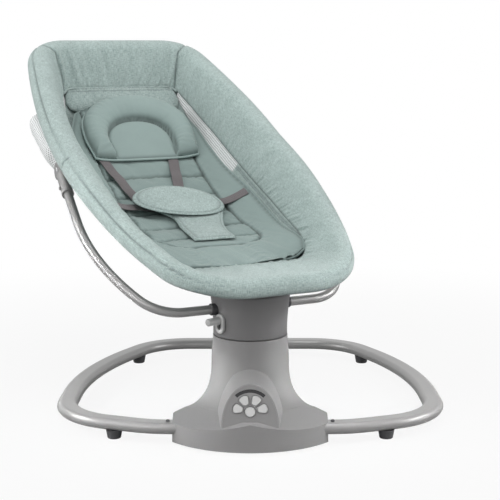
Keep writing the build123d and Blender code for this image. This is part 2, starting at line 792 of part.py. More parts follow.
with BuildPart() as power_inlet:
    with BuildSketch(Plane(origin=(0, PLAN[-1][1] + 0.5, INLET_Z), x_dir=(-1, 0, 0), z_dir=(0, 1, 0))):
        Circle(INLET_R)
    extrude(amount=-INLET_LONG)
    with BuildSketch(Plane(origin=(0, PLAN[-1][1] + 0.5, INLET_Z), x_dir=(-1, 0, 0), z_dir=(0, 1, 0))):
        Circle(3.2)
        Circle(1.1, mode=Mode.SUBTRACT)
    extrude(amount=-11, mode=Mode.SUBTRACT)
save(power_inlet.part, "power_inlet")


# Hub

with BuildPart() as spindle:
    with BuildSketch(Plane.XZ):
        with BuildLine():
            Polyline(
                (0, GEAR_Z - 1),
                (SPINDLE_R, GEAR_Z - 1),
                (SPINDLE_R, UPPER_BEARING_Z + BEARING_TALL + RUN),
                (SHOULDER_R, UPPER_BEARING_Z + BEARING_TALL + RUN),
                (SHOULDER_R, HUB_BOTTOM + HUB_FLOOR),
                (SPINDLE_FLANGE_R, HUB_BOTTOM + HUB_FLOOR),
                (SPINDLE_FLANGE_R, HUB_BOTTOM + HUB_FLOOR + 5),
                (0, HUB_BOTTOM + HUB_FLOOR + 5),
                close=True,
            )
        make_face()
    revolve(axis=Axis.Z)
save(spindle.part, "spindle")

with BuildPart() as spindle_gear:
    with BuildSketch(Plane.XY.offset(GEAR_Z)):
        with Locations(Location((0, 0, 0), (0, 0, 90))):
            Polygon(*gear_outline(GEAR_TEETH), align=None)
        Circle(SPINDLE_R + SLIP / 2, mode=Mode.SUBTRACT)
        with PolarLocations(27, 6):
            Circle(8, mode=Mode.SUBTRACT)
    extrude(amount=GEAR_THICK)
save(spindle_gear.part, "spindle_gear")

lever_way = (lateral * -1).rotate(Axis.Z, LEVER_TURN)
LEVER_PLANE = Plane(origin=lever_way * ESCUTCHEON_OUT, x_dir=upward.cross(lever_way), z_dir=lever_way)

with BuildPart() as hub_shell:
    with BuildSketch(Plane.XZ):
        with BuildLine():
            hub_base = Line((0, HUB_BOTTOM), (HUB_LOW_R - 1.5, HUB_BOTTOM))
            hub_chamfer = Line(hub_base @ 1, (HUB_LOW_R, HUB_BOTTOM + 1.5))
            hub_side = Spline(
                hub_chamfer @ 1,
                (HUB_LOW_R + 1.0, HUB_BOTTOM + 32),
                (HUB_HIGH_R, HUB_TOP - 8),
                tangents=[(0, 1), (0.12, 1)],
            )
            hub_round = TangentArc(hub_side @ 1, (HUB_HIGH_R - 7, HUB_TOP), tangent=hub_side % 1)
            Line(hub_round @ 1, (0, HUB_TOP))
            Line((0, HUB_TOP), (0, HUB_BOTTOM))
        make_face()
    revolve(axis=Axis.Z)
    with BuildSketch(Plane.XY.offset(HUB_BOTTOM + HUB_FLOOR)):
        Circle(HUB_CAVITY_R)
    extrude(amount=HUB_TOP - HUB_BOTTOM, mode=Mode.SUBTRACT)
    with BuildSketch(Plane.XY.offset(HUB_TOP - CAP_THICK)):
        Circle(HUB_CAVITY_R + 2)
    extrude(amount=CAP_THICK, mode=Mode.SUBTRACT)
    with BuildSketch(Plane.XY.offset(HUB_BOTTOM)):
        Circle(SHOULDER_R + SLIP)
    extrude(amount=HUB_FLOOR, mode=Mode.SUBTRACT)
    for side in (-1, 1):
        outward = lateral * side
        socket = Plane(origin=outward * (ARM_START - 4) + upward * ARM_Z, x_dir=rearward, z_dir=outward)
        with BuildSketch(socket):
            Circle(ARM_BOSS_R)
        extrude(amount=HUB_CAVITY_R - ARM_START + 6)
        with BuildSketch(socket.offset(4 - SLIP)):
            Circle(ARM_R + SLIP)
        extrude(amount=60, mode=Mode.SUBTRACT)
        with BuildSketch(socket.offset(COLLAR_IN - ARM_START + 4)):
            Circle(COLLAR_R + SLIP)
        extrude(amount=30, mode=Mode.SUBTRACT)
    with BuildSketch(LEVER_PLANE.offset(-ESCUTCHEON_THICK)):
        with Locations((0, ESCUTCHEON_Z)):
            SlotOverall(ESCUTCHEON_TALL + 2 * SLIP, ESCUTCHEON_WIDE + 2 * SLIP, rotation=90)
    extrude(amount=30, mode=Mode.SUBTRACT)
    with BuildSketch(LEVER_PLANE):
        with Locations((0, ESCUTCHEON_Z)):
            SlotOverall(LEVER_TRAVEL + 2 * LEVER_SHANK_R + 1.2, 2 * LEVER_SHANK_R + 1.2, rotation=90)
    extrude(amount=-30, mode=Mode.SUBTRACT)
save(hub_shell.part, "hub_shell")

with BuildPart() as hub_cap:
    with BuildSketch(Plane.XY.offset(HUB_TOP - CAP_THICK)):
        Circle(HUB_CAVITY_R + 2 - SLIP)
    extrude(amount=CAP_THICK)
    chamfer(hub_cap.edges().group_by(Axis.Z)[-1], 0.8)
save(hub_cap.part, "hub_cap")

with BuildPart() as lever_escutcheon:
    with BuildSketch(LEVER_PLANE.offset(-ESCUTCHEON_THICK)):
        with Locations((0, ESCUTCHEON_Z)):
            SlotOverall(ESCUTCHEON_TALL, ESCUTCHEON_WIDE, rotation=90)
    extrude(amount=ESCUTCHEON_THICK)
    fillet(lever_escutcheon.edges().group_by(Axis((0, 0, 0), LEVER_PLANE.z_dir))[-1], 1.5)
    with BuildSketch(LEVER_PLANE):
        with Locations((0, ESCUTCHEON_Z)):
            SlotOverall(LEVER_TRAVEL + 2 * LEVER_SHANK_R + 1.2, 2 * LEVER_SHANK_R + 1.2, rotation=90)
    extrude(amount=-ESCUTCHEON_THICK, mode=Mode.SUBTRACT)
save(lever_escutcheon.part, "lever_escutcheon")

with BuildPart() as lock_lever:
    with BuildSketch(LEVER_PLANE.offset(0.5)):
        with Locations((0, LEVER_Z)):
            Circle(LEVER_R)
    extrude(amount=LEVER_OUT - ESCUTCHEON_OUT - 0.5)
    fillet(lock_lever.edges().group_by(Axis((0, 0, 0), LEVER_PLANE.z_dir))[-1], 2.5)
    with BuildSketch(LEVER_PLANE.offset(0.5)):
        with Locations((0, LEVER_Z)):
            Circle(LEVER_SHANK_R)
    extrude(amount=-(ESCUTCHEON_OUT - HUB_CAVITY_R + 5))
    with BuildSketch(LEVER_PLANE.offset(-(ESCUTCHEON_OUT - HUB_CAVITY_R + 9))):
        with Locations((0, LEVER_Z)):
            RectangleRounded(18, 9, 2)
    extrude(amount=5)
save(lock_lever.part, "lock_lever")


# Arms

def arm_tube(side):
    """Bent tube from the hub out to one side of the seat."""
    with BuildLine(ARM) as path:
        FilletPolyline(
            (side * ARM_START, 0),
            (side * ARM_CORNER, 0),
            (side * ARM_KNEE[0], ARM_KNEE[1]),
            (side * ARM_END[0], ARM_END[1]),
            radius=[ARM_BEND, KNEE_BEND],
        )
    return swept(path.wire(), ARM_R, ARM_R - ARM_WALL)


def arm_collar(side):
    """Ring round an arm where it enters the hub."""
    with BuildPart() as collar:
        with BuildSketch(
            Plane(origin=lateral * side * COLLAR_IN + upward * ARM_Z, x_dir=rearward, z_dir=lateral * side)
        ):
            Circle(COLLAR_R)
            Circle(ARM_R + SLIP, mode=Mode.SUBTRACT)
        extrude(amount=COLLAR_OUT - COLLAR_IN)
        fillet(
            collar.edges().group_by(Axis((0, 0, 0), lateral * side))[-1].sort_by(SortBy.LENGTH)[-1], 1.5
        )
    return collar.part


def side_connector(side):
    """Socket on the end of an arm with the pivot head that carries the seat."""
    end = ARM.from_local_coords(Vector(side * ARM_END[0], ARM_END[1], 0))
    knee = ARM.from_local_coords(Vector(side * ARM_KNEE[0], ARM_KNEE[1], 0))
    way = (end - knee).normalized()
    low = Plane(origin=end - way * (SOCKET_LONG - 6), x_dir=lateral, z_dir=way)
    head = Plane(
        origin=pivot_point + lateral * side * (PIVOT_V - PIVOT_THICK / 2),
        x_dir=ARM.y_dir,
        z_dir=lateral * side,
    )
    with BuildPart() as connector:
        with BuildSketch(low):
            Circle(SOCKET_R)
        with BuildSketch(low.offset(SOCKET_LONG - 6)):
            Ellipse(SOCKET_R - 1.5, SOCKET_R + 2)
        loft()
        with BuildSketch(low.offset(SOCKET_LONG - 6)):
            Ellipse(SOCKET_R - 1.5, SOCKET_R + 2)
        extrude(amount=16)
        with BuildSketch(head):
            Circle(PIVOT_R)
        extrude(amount=PIVOT_THICK)
        with BuildSketch(low):
            Circle(ARM_R + SLIP)
        extrude(amount=SOCKET_LONG - 6 + SLIP, mode=Mode.SUBTRACT)
        with BuildSketch(head):
            Circle(PIN_R + RUN)
        extrude(amount=PIVOT_THICK, mode=Mode.SUBTRACT)
        with BuildSketch(head):
            Rectangle(200, 200)
        extrude(amount=-40, mode=Mode.SUBTRACT)
        outward = lateral * side
        with BuildSketch(Plane(origin=end - way * RIVET_BACK + outward * (SOCKET_R - 1), z_dir=outward)):
            Circle(RIVET_R)
        extrude(amount=RIVET_PROUD + 1)
    return connector.part


for side, word in ((-1, "left"), (1, "right")):
    save(arm_tube(side), f"arm_tube_{word}")
    save(arm_collar(side), f"arm_collar_{word}")
    save(side_connector(side), f"side_connector_{word}")


# Frame of the seat

def pivot_bracket(side):
    """Plate hanging from the rim tube to the pivot, with the sleeve that joins the two hoops."""
    plate = Plane(
        origin=seat_origin + lateral * side * (PIVOT_V - PIVOT_THICK / 2 - SKIN),
        x_dir=seat_along * side,
        z_dir=lateral * side,
    )
    sleeve = Plane(
        origin=HEAD.origin + lateral * side * HOOP_SPLIT_V - seat_along * (SLEEVE_LONG / 2),
        x_dir=lateral,
        z_dir=seat_along,
    )
    along = side * pivot_local.Y
    with BuildPart() as bracket:
        with BuildSketch(plate):
            with Locations((along, pivot_local.Z)):
                Circle(PIVOT_R - 2)
            with Locations((along, pivot_local.Z / 2)):
                Rectangle(2 * PIVOT_R - 4, -pivot_local.Z)
        extrude(amount=-BRACKET_THICK)
        with BuildSketch(sleeve):
            Circle(SLEEVE_R)
        extrude(amount=SLEEVE_LONG)
        with BuildSketch(sleeve):
            Circle(HOOP_R + SLEEVE_GAP)
        extrude(amount=SLEEVE_LONG, mode=Mode.SUBTRACT)
        with BuildSketch(plate):
            with Locations((along, pivot_local.Z)):
                Circle(PIN_R + SLIP / 2)
        extrude(amount=-BRACKET_THICK, mode=Mode.SUBTRACT)
    return bracket.part


def pivot_pin(side):
    """Pin through bracket and connector with a head at each end."""
    inner = PIVOT_V - PIVOT_THICK / 2 - SKIN - BRACKET_THICK
    outer = PIVOT_V + PIVOT_THICK / 2 + SKIN
    start = Plane(
        origin=pivot_point + lateral * side * (inner - PIN_HEAD), x_dir=rearward, z_dir=lateral * side
    )
    with BuildPart() as pin:
        with BuildSketch(start):
            Circle(PIN_HEAD_R)
        extrude(amount=PIN_HEAD)
        with BuildSketch(start):
            Circle(PIN_R)
        extrude(amount=outer - inner + PIN_HEAD)
        with BuildSketch(start.offset(outer - inner + PIN_HEAD)):
            Circle(PIN_HEAD_R)
        extrude(amount=PIN_HEAD)
        fillet(pin.edges().group_by(Axis((0, 0, 0), lateral * side))[-1], 1.2)
    return pin.part


for word, plane, corners, bends in (
    ("head", HEAD, HEAD_RIM, HEAD_BENDS),
    ("foot", FOOT, FOOT_RIM, FOOT_BENDS),
):
    save(swept(hoop_path(plane, corners, bends, HOOP_START), HOOP_R, HOOP_R - HOOP_WALL), f"rim_hoop_{word}")
    save(swept(hoop_path(plane, corners, bends, ROLL_GAP), ROLL_R, HOOP_R + SKIN), f"rim_cover_{word}")
for side, word in ((-1, "left"), (1, "right")):
    save(pivot_bracket(side), f"pivot_bracket_{word}")
    save(pivot_pin(side), f"pivot_pin_{word}")


# Fabric of the seat

def loop_face(plane, outline):
    """Face inside a closed outline of straight sides and bends."""
    corners, bends = outline
    with BuildSketch(plane) as face:
        with BuildLine():
            FilletPolyline(*corners, radius=bends, close=True)
        make_face()
    return face.sketch


def bowl(inset, lift):
    """Solid filling the seat below the rim, moved in by a thickness and closed at a height over the rim."""
    side_loop = inset_outline(ROLL_R + ROLL_SKIN + inset)
    floor_loop = scaled_outline(WALL_HALF - inset, WALL_HEAD - inset, WALL_FOOT + inset)
    with BuildPart() as wall:
        add(loop_face(SEAT, side_loop))
        add(loop_face(SEAT.offset(-WALL_DEPTH), floor_loop))
        loft()
        extrude(loop_face(SEAT, side_loop), amount=80)
    with BuildPart() as solid:
        with BuildSketch(MID):
            with BuildLine():
                floor = Spline(*[(u, w + inset) for u, w in PAN])
                top = Spline(*[(u, rim_height(u) + lift) for u, w in PAN])
                Line(floor @ 0, top @ 0)
                Line(floor @ 1, top @ 1)
            make_face()
        extrude(amount=240, both=True)
        add(wall.part, mode=Mode.INTERSECT)
    return solid.part


def mesh_window(side, margin):
    """Block standing through a side wall where the mesh is."""
    with BuildPart() as block:
        with BuildSketch(SEAT.offset(MESH_LOW + margin)):
            with Locations((side * 160, (MESH_FOOT + MESH_HEAD) / 2)):
                Rectangle(140, MESH_HEAD - MESH_FOOT - 2 * margin)
        extrude(amount=MESH_HIGH - MESH_LOW - 2 * margin)
    return block.part


def over_pan(low, high, outline):
    """Layer lying on the sling's floor between two heights, cut to an outline in the plane of the rim."""
    with BuildPart() as layer:
        with BuildSketch(MID):
            with BuildLine():
                under = Spline(*[(u, w + low) for u, w in PAN])
                over = Spline(*[(u, w + high) for u, w in PAN])
                Line(under @ 0, over @ 0)
                Line(under @ 1, over @ 1)
            make_face()
        extrude(amount=240, both=True)
        extrude(outline, amount=400, mode=Mode.INTERSECT)
    return layer.part


UNDER = SEAT.offset(-200)

with BuildPart() as whole_sling:
    add(bowl(0, 0))
    add(bowl(SLING_WALL, 60), mode=Mode.SUBTRACT)

with BuildPart() as seat_sling:
    add(whole_sling.part)
    for side in (-1, 1):
        add(mesh_window(side, 0), mode=Mode.SUBTRACT)
save(seat_sling.part, "seat_sling")

for side, word in ((-1, "left"), (1, "right")):
    with BuildPart() as mesh_panel:
        add(whole_sling.part)
        add(mesh_window(side, SKIN), mode=Mode.INTERSECT)
    save(mesh_panel.part, f"mesh_panel_{word}")


def pad_section(along, half, thick):
    """Crowned cross-section of the insert pad with drawn-in sides."""
    place = MID.from_local_coords(Vector(along, pan_height(along) + SLING_WALL - 4, 0))
    with BuildSketch(Plane(origin=place, x_dir=lateral, z_dir=seat_along * -1)) as section:
        with BuildLine():
            Line((-half, 0), (half, 0))
            Spline(
                (half, 0),
                (half * 0.985, 4 + thick * 0.5),
                (half * 0.8, 4 + thick * 0.92),
                (0, 4 + thick * 1.08),
                (-half * 0.8, 4 + thick * 0.92),
                (-half * 0.985, 4 + thick * 0.5),
                (-half, 0),
            )
        make_face()
    return section.sketch


with BuildPart() as insert_pad:
    for along, half in PAD_STATIONS:
        add(pad_section(along, half, PAD_THICK))
    loft()
    with BuildSketch(MID):
        with BuildLine():
            Spline(*[(u, w + SLING_WALL + PAD_AT) for u, w in PAN])
            Spline(*[(u, w + SLING_WALL + PAD_AT + PAD_THICK) for u, w in PAN])
            for k in (0, -1):
                u, w = PAN[k]
                Line((u, w + SLING_WALL + PAD_AT), (u, w + SLING_WALL + PAD_AT + PAD_THICK))
        make_face()
    extrude(amount=240, both=True, mode=Mode.INTERSECT)
    for along in PAD_CHANNELS:
        with BuildSketch(MID.offset(-CHANNEL_HALF)):
            with Locations((along, pan_height(along) + SLING_WALL + PAD_AT + PAD_THICK + CHANNEL_R * 0.15)):
                Circle(CHANNEL_R)
        extrude(amount=2 * CHANNEL_HALF, mode=Mode.SUBTRACT)
save(insert_pad.part, "insert_pad")


def dome_face(plane, half, low, high):
    """Straight edge towards the foot, rounded towards the head."""
    with BuildSketch(plane) as outline:
        with BuildLine():
            Line((-half * 0.94, low), (half * 0.94, low))
            Spline(
                (half * 0.94, low),
                (half, low + (high - low) * 0.35),
                (half * 0.72, low + (high - low) * 0.86),
                (0, high),
                (-half * 0.72, low + (high - low) * 0.86),
                (-half, low + (high - low) * 0.35),
                (-half * 0.94, low),
            )
        make_face()
    return outline.sketch


def strap_face(plane, start, end):
    """Strip of webbing between two places in plan."""
    with BuildSketch(plane) as outline:
        run = Vector(end[0] - start[0], end[1] - start[1])
        across = Vector(-run.Y, run.X).normalized() * (WEB_WIDE / 2)
        with BuildLine():
            Polyline(
                (start[0] + across.X, start[1] + across.Y),
                (end[0] + across.X, end[1] + across.Y),
                (end[0] - across.X, end[1] - across.Y),
                (start[0] - across.X, start[1] - across.Y),
                close=True,
            )
        make_face()
    return outline.sketch


with BuildPart() as head_pillow:
    below = SLING_WALL + PILLOW_AT
    above = below + PILLOW_THICK
    add(over_pan(below, above, dome_face(UNDER, PILLOW_HALF, PILLOW_LOW, PILLOW_HIGH)))
    dish = dome_face(UNDER, DISH_HALF, DISH_LOW, DISH_HIGH)
    add(over_pan(above - PILLOW_DISH, above + PILLOW_DISH, dish), mode=Mode.SUBTRACT)
save(head_pillow.part, "head_pillow")


# Harness

for word, (start, end) in (("left", SHOULDER_LEFT), ("right", SHOULDER_RIGHT)):
    strap = over_pan(SLING_WALL + WEB_AT, SLING_WALL + WEB_AT + WEB_THICK, strap_face(UNDER, start, end))
    save(strap, f"shoulder_strap_{word}")

for side, word in ((-1, "left"), (1, "right")):
    strap = over_pan(
        SLING_WALL + WEB_AT,
        SLING_WALL + WEB_AT + WEB_THICK,
        strap_face(UNDER, (side * WAIST_IN, WAIST_U), (side * WAIST_OUT, WAIST_U)),
    )
    save(strap, f"waist_strap_{word}")

with BuildPart() as crotch_piece:
    with BuildSketch(UNDER) as crotch_outline:
        with BuildLine():
            Line((-CROTCH_NECK, CROTCH_END_U), (CROTCH_NECK, CROTCH_END_U))
            for side in (-1, 1):
                Spline(
                    (side * CROTCH_NECK, CROTCH_END_U),
                    (side * CROTCH_NECK * 1.02, CROTCH_NECK_U),
                    (side * CROTCH_WING, CROTCH_WING_U),
                )
                Line((side * CROTCH_WING, CROTCH_WING_U), (side * CROTCH_WING * 0.9, CROTCH_WING_U + 22))
            Line((-CROTCH_WING * 0.9, CROTCH_WING_U + 22), (CROTCH_WING * 0.9, CROTCH_WING_U + 22))
        make_face()
    add(over_pan(SLING_WALL + CROTCH_AT, SLING_WALL + CROTCH_AT + CROTCH_THICK, crotch_outline.sketch))
save(crotch_piece.part, "crotch_piece")

BUCKLE = Plane(
    origin=MID.from_local_coords(Vector(BUCKLE_U, pan_height(BUCKLE_U) + SLING_WALL + BUCKLE_AT, 0)),
    x_dir=lateral,
    z_dir=seat_up * cos(radians(BUCKLE_TILT)) - seat_along * sin(radians(BUCKLE_TILT)),
)
RELEASE = Plane(
    origin=BUCKLE.from_local_coords(Vector(0, -BUCKLE_LONG / 2, BUCKLE_THICK / 2)),
    x_dir=lateral * -1,
    z_dir=BUCKLE.y_dir * -1,
)

with BuildPart() as buckle_body:
    with BuildSketch(BUCKLE):
        RectangleRounded(BUCKLE_WIDE, BUCKLE_LONG, 9)
    extrude(amount=BUCKLE_THICK)
    fillet(buckle_body.edges().group_by(Axis(BUCKLE.origin, BUCKLE.z_dir))[-1], 2.5)
    with BuildSketch(RELEASE):
        RectangleRounded(RELEASE_WIDE + 2 * SKIN, RELEASE_TALL + 2 * SKIN, 2)
    extrude(amount=-RELEASE_LONG - RELEASE_TRAVEL - SKIN, mode=Mode.SUBTRACT)
save(buckle_body.part, "buckle_body")

with BuildPart() as buckle_release:
    with BuildSketch(RELEASE.offset(-RELEASE_LONG)):
        RectangleRounded(RELEASE_WIDE, RELEASE_TALL, 1.7)
    extrude(amount=RELEASE_LONG + RELEASE_PROUD)
    fillet(buckle_release.edges().group_by(Axis(RELEASE.origin, RELEASE.z_dir))[-1], 1.2)
save(buckle_release.part, "buckle_release")

with BuildSketch(UNDER) as oval_outline:
    with Locations((0, BUCKLE_U)):
        Ellipse(OVAL_HALF, OVAL_LONG)
save(
    over_pan(SLING_WALL + OVAL_AT, SLING_WALL + OVAL_AT + OVAL_THICK, oval_outline.sketch),
    "buckle_pad",
)
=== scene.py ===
"""Looks of the baby swing: padded seat, harness, finishes of the frame and a plain studio."""

from math import atan2, cos, pi, radians, sin

import bpy
import numpy as np
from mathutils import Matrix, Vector


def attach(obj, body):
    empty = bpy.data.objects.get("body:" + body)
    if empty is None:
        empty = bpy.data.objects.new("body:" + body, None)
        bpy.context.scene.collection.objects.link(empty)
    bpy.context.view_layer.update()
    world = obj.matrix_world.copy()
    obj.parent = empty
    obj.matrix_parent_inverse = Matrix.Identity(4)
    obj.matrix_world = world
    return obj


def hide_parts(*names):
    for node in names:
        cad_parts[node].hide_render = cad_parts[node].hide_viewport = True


bl_info = {
    "name": "Baby swing dresser",
    "version": (1, 0, 0),
    "blender": (4, 5, 0),
    "location": "View3D > Sidebar > Baby swing",
    "description": "Builds the fabric of a baby swing around its frame and finishes every piece",
    "category": "Object",
}

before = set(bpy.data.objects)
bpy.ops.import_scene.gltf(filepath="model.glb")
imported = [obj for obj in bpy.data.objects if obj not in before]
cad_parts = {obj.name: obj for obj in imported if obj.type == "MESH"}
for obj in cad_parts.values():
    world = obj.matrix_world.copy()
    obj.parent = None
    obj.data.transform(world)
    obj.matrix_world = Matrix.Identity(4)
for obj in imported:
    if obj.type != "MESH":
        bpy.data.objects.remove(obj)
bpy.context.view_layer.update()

# The seat's own axes in the part's frame: across, towards the head, up
SWAY = radians(27)
RECLINE = radians(27)
ACROSS = np.array((cos(SWAY), sin(SWAY), 0.0))
REARWARD = np.array((-sin(SWAY), cos(SWAY), 0.0))
UPWARD = np.array((0.0, 0.0, 1.0))
HEADWARD = REARWARD * cos(RECLINE) + UPWARD * sin(RECLINE)
SEATWARD = UPWARD * cos(RECLINE) - REARWARD * sin(RECLINE)
SEAT_ORIGIN = REARWARD * 0.293 + UPWARD * 0.423

# Seat shapes along those axes: millimetres for lengths, radians for angles, shares for the rest
RIM_CORNERS = [(128, -427), (182, -276), (202, -96), (197, 99), (176, 239), (150, 349)]
RIM_BENDS = [110, 680, 1300, 1200, 1500, 62]
RIM_SPLIT = 14.0
RIM_EASE = 40.0
HEAD_CURL = radians(2.7)
FOOT_CURL = radians(3.1)
RIM_FOOT = RIM_CORNERS[0][1]
FLOOR_SCALE = 124 / 202
FLOOR_FOOT = -300.0
FLOOR_STRETCH = 540 / 776
FLOOR_DEPTH = 130.0
SLING_PAN = [(-398, 12), (-330, -44), (-230, -66), (-110, -105), (0, -118), (100, -110), (180, -88),
             (240, -62), (290, -34), (322, 4)]
SLING_WALL = 5.0
SLING_INSET = 19.0
SLING_DROP = 11
COVER_CORNERS = [(120, -299), (147, -250), (154, -100), (150, 30), (144, 135), (128, 245), (112, 287)]
COVER_BENDS = [38, 160, 500, 600, 600, 300, 24]
COVER_LEVEL = [(-310, -34), (-258, -33), (-101, -48), (25, -53), (131, -51), (234, -42), (290, -31)]
EDGE_MIDDLE = -30.0
SIDE_LEAST = 60
PAD_EDGE = [(-296, 0), (-294, 84), (-288, 114), (-275, 134), (-252, 143), (-169, 145), (-42, 146), (94, 137),
            (177, 129), (225, 108), (240, 66), (244, 0)]
PAD_LEVEL = [(-295, -42), (-280, -36), (-169, -57), (-42, -69), (94, -79), (177, -68), (244, -48)]
PAD_CHANNELS = [-172, -112, -52, 8, 68, 128]
PAD_PITCH = 60
PAD_SEAM_HALF = 101.0
PAD_SEAM_FOOT = -224.0
PAD_SEAM_BEND = 52.0
PAD_LIFT = 0.4
PAD_PIPING_LIFT = 3.4
PAD_UNDER_SHIFT = 400
UNDER_SHIFT = 300
PILLOW_FOOT = 105.0
PILLOW_HEAD = 244.0
PILLOW_HALF = 109.0
PILLOW_MIDDLE = 150
PILLOW_MEAN_R = 95
PILLOW_LIFT = 18.2
PILLOW_CURL = 9
PILLOW_PIPING_LIFT = 22
PILLOW_PIPING_OUT = 1.008
DOME_FOOT = 0.94
DOME_SIDE = 0.35
DISH_HALF = 65.0
DISH_FOOT = 108.0
DISH_HEAD = 196.0
STRIP_FOOT = 30.0
STRIP_HEAD = 270.0
STRIP_HIGH = -52.0
STRIP_LOW = -74.0
STRIP_DROP = 28
PANEL_FOOT = -278.0
PANEL_LAP = 3
POUCH_OUT = 214.5
POUCH_FOOT = 34.0
POUCH_HEAD = 182.0
POUCH_DEPTH = 90
POUCH_LEVEL = [(0, -16), (0.3, -30), (0.5, -50), (0.75, -76), (1.0, -94)]
POUCH_FLAT = [(0, -10), (0.3, 2), (0.5, 12), (0.75, 24), (1.0, 36)]
POUCH_PUFF = [(0, 0), (0.3, 1.0), (0.5, 0.94), (0.75, 0.5), (1.0, 0)]
FLAP_EDGE = [(234, 60), (236, 92), (243, 111), (256, 117), (272, 115), (280, 110), (284, 60)]
FLAP_LIFT = 1.0
FLAP_SEAM = 276
HEAD_PIPING_END = 272
SLING_CUT_FOOT = STRIP_FOOT + 26
SLING_CUT_HEAD = POUCH_HEAD - 14
SLING_CUT_SIDE = 90
ROLL_SLIM = 5.0
CORNER_SEAM = (140, 345)
CONNECTOR_SLIT = (200, -38)
WAIST_U = -44.0
STRAPS = {
    "shoulder_strap_left": ((-88, 112), (-60, -22)),
    "shoulder_strap_right": ((54, 112), (22, -22)),
    "waist_strap_left": ((-136, WAIST_U), (-34, WAIST_U)),
    "waist_strap_right": ((136, WAIST_U), (34, WAIST_U)),
}
STRAP_LIFT = 16.8
CROTCH_LIFT = 18.4
CROTCH_LEFT = [(-206, -37), (-182, -34), (-130, -28), (-92, -26), (-66, -44), (-46, -62), (-24, -80)]
CROTCH_RIGHT = [(-206, 41), (-186, 42), (-140, 52), (-104, 66), (-78, 78), (-50, 85), (-24, 84)]
OVAL_U = -52.0
OVAL_LONG = 84.0
OVAL_SHORT = 46.0
OVAL_TURN = radians(-12)
OVAL_LIFT = 37.0

# Faces round the piping
PIPING_SIDES = 8

# Angles round the padded roll, from its inner side over the top to its outer side
ROLL_START = radians(-55)
OUT_SEAM = radians(134)
UNDER_SEAM = radians(168)

# Thicknesses, threads and limits in metres
COVER_THICK = 0.0026
SLING_THICK = 0.004
MESH_THICK = 0.0012
WEB_THICK = 0.0017
WEB_ROUND = 0.0004
INSERT_PIPING_R = 0.0022
PILLOW_PIPING_R = 0.0023
TRIM_R = 0.0026
THREAD = 0.0011
TWILL = 0.0013
WEB_RIB = 0.0016
WEB_PICK = 0.0022
MESH_PITCH = 0.0078
WELD = 0.00005
SLING_WELD = 0.0004
SLIVER = 0.00002
PILLOW_PIPING_STEP = 0.0015


class SeatLook(bpy.types.PropertyGroup):
    """Sizes and colours of the fabric."""

    heather: bpy.props.FloatVectorProperty(
        name="Heather", description="Light thread of the rim fabric", subtype="COLOR",
        default=(0.458, 0.556, 0.535), min=0, max=1)
    heather_shade: bpy.props.FloatVectorProperty(
        name="Heather shade", description="Dark thread of the rim fabric", subtype="COLOR",
        default=(0.265, 0.335, 0.322), min=0, max=1)
    lining: bpy.props.FloatVectorProperty(
        name="Lining", description="Smooth fabric of insert and pillow", subtype="COLOR",
        default=(0.262, 0.334, 0.32), min=0, max=1)
    webbing: bpy.props.FloatVectorProperty(
        name="Webbing", description="Harness straps", subtype="COLOR",
        default=(0.155, 0.138, 0.142), min=0, max=1)
    mesh: bpy.props.FloatVectorProperty(
        name="Mesh", description="Open mesh of the side windows", subtype="COLOR",
        default=(0.74, 0.76, 0.76), min=0, max=1)
    roll: bpy.props.FloatProperty(
        name="Roll", description="Radius of the padded rim", unit="LENGTH",
        default=0.0235, min=0.015, max=0.03)
    seam: bpy.props.FloatProperty(
        name="Seam", description="Depth of the seams", unit="LENGTH", default=0.0022, min=0, max=0.006)
    web: bpy.props.FloatProperty(
        name="Webbing width", description="Width of the straps", unit="LENGTH",
        default=0.020, min=0.01, max=0.04)


class FrameLook(bpy.types.PropertyGroup):
    """Colours of the rigid pieces."""

    pedestal: bpy.props.FloatVectorProperty(
        name="Pedestal", description="Moulded pedestal", subtype="COLOR",
        default=(0.215, 0.212, 0.212), min=0, max=1)
    hub: bpy.props.FloatVectorProperty(
        name="Hub", description="Moulded hub", subtype="COLOR",
        default=(0.145, 0.143, 0.144), min=0, max=1)
    tube: bpy.props.FloatVectorProperty(
        name="Tube", description="Painted tubes", subtype="COLOR",
        default=(0.27, 0.267, 0.265), min=0, max=1)
    button: bpy.props.FloatVectorProperty(
        name="Buttons", description="Buttons, lever and escutcheon", subtype="COLOR",
        default=(0.44, 0.44, 0.437), min=0, max=1)
    dark: bpy.props.FloatVectorProperty(
        name="Dark parts", description="Feet, collars and trim", subtype="COLOR",
        default=(0.045, 0.045, 0.048), min=0, max=1)


class StageLook(bpy.types.PropertyGroup):
    """Camera and light."""

    distance: bpy.props.FloatProperty(
        name="Camera distance", description="From the hub axis", unit="LENGTH",
        default=1.9938, min=0.5, max=6)
    height: bpy.props.FloatProperty(
        name="Camera height", description="Over the floor", unit="LENGTH", default=0.6174, min=0, max=3)
    tilt: bpy.props.FloatProperty(
        name="Tilt", description="Downward tilt", subtype="ANGLE", default=radians(9.4), min=0, max=1)
    lens: bpy.props.FloatProperty(
        name="Lens", description="Focal length in millimetres", default=91.2, min=20, max=200)
    ambient: bpy.props.FloatProperty(
        name="Ambient", description="Strength of the surrounding light", default=0.36, min=0, max=2)


# Materials

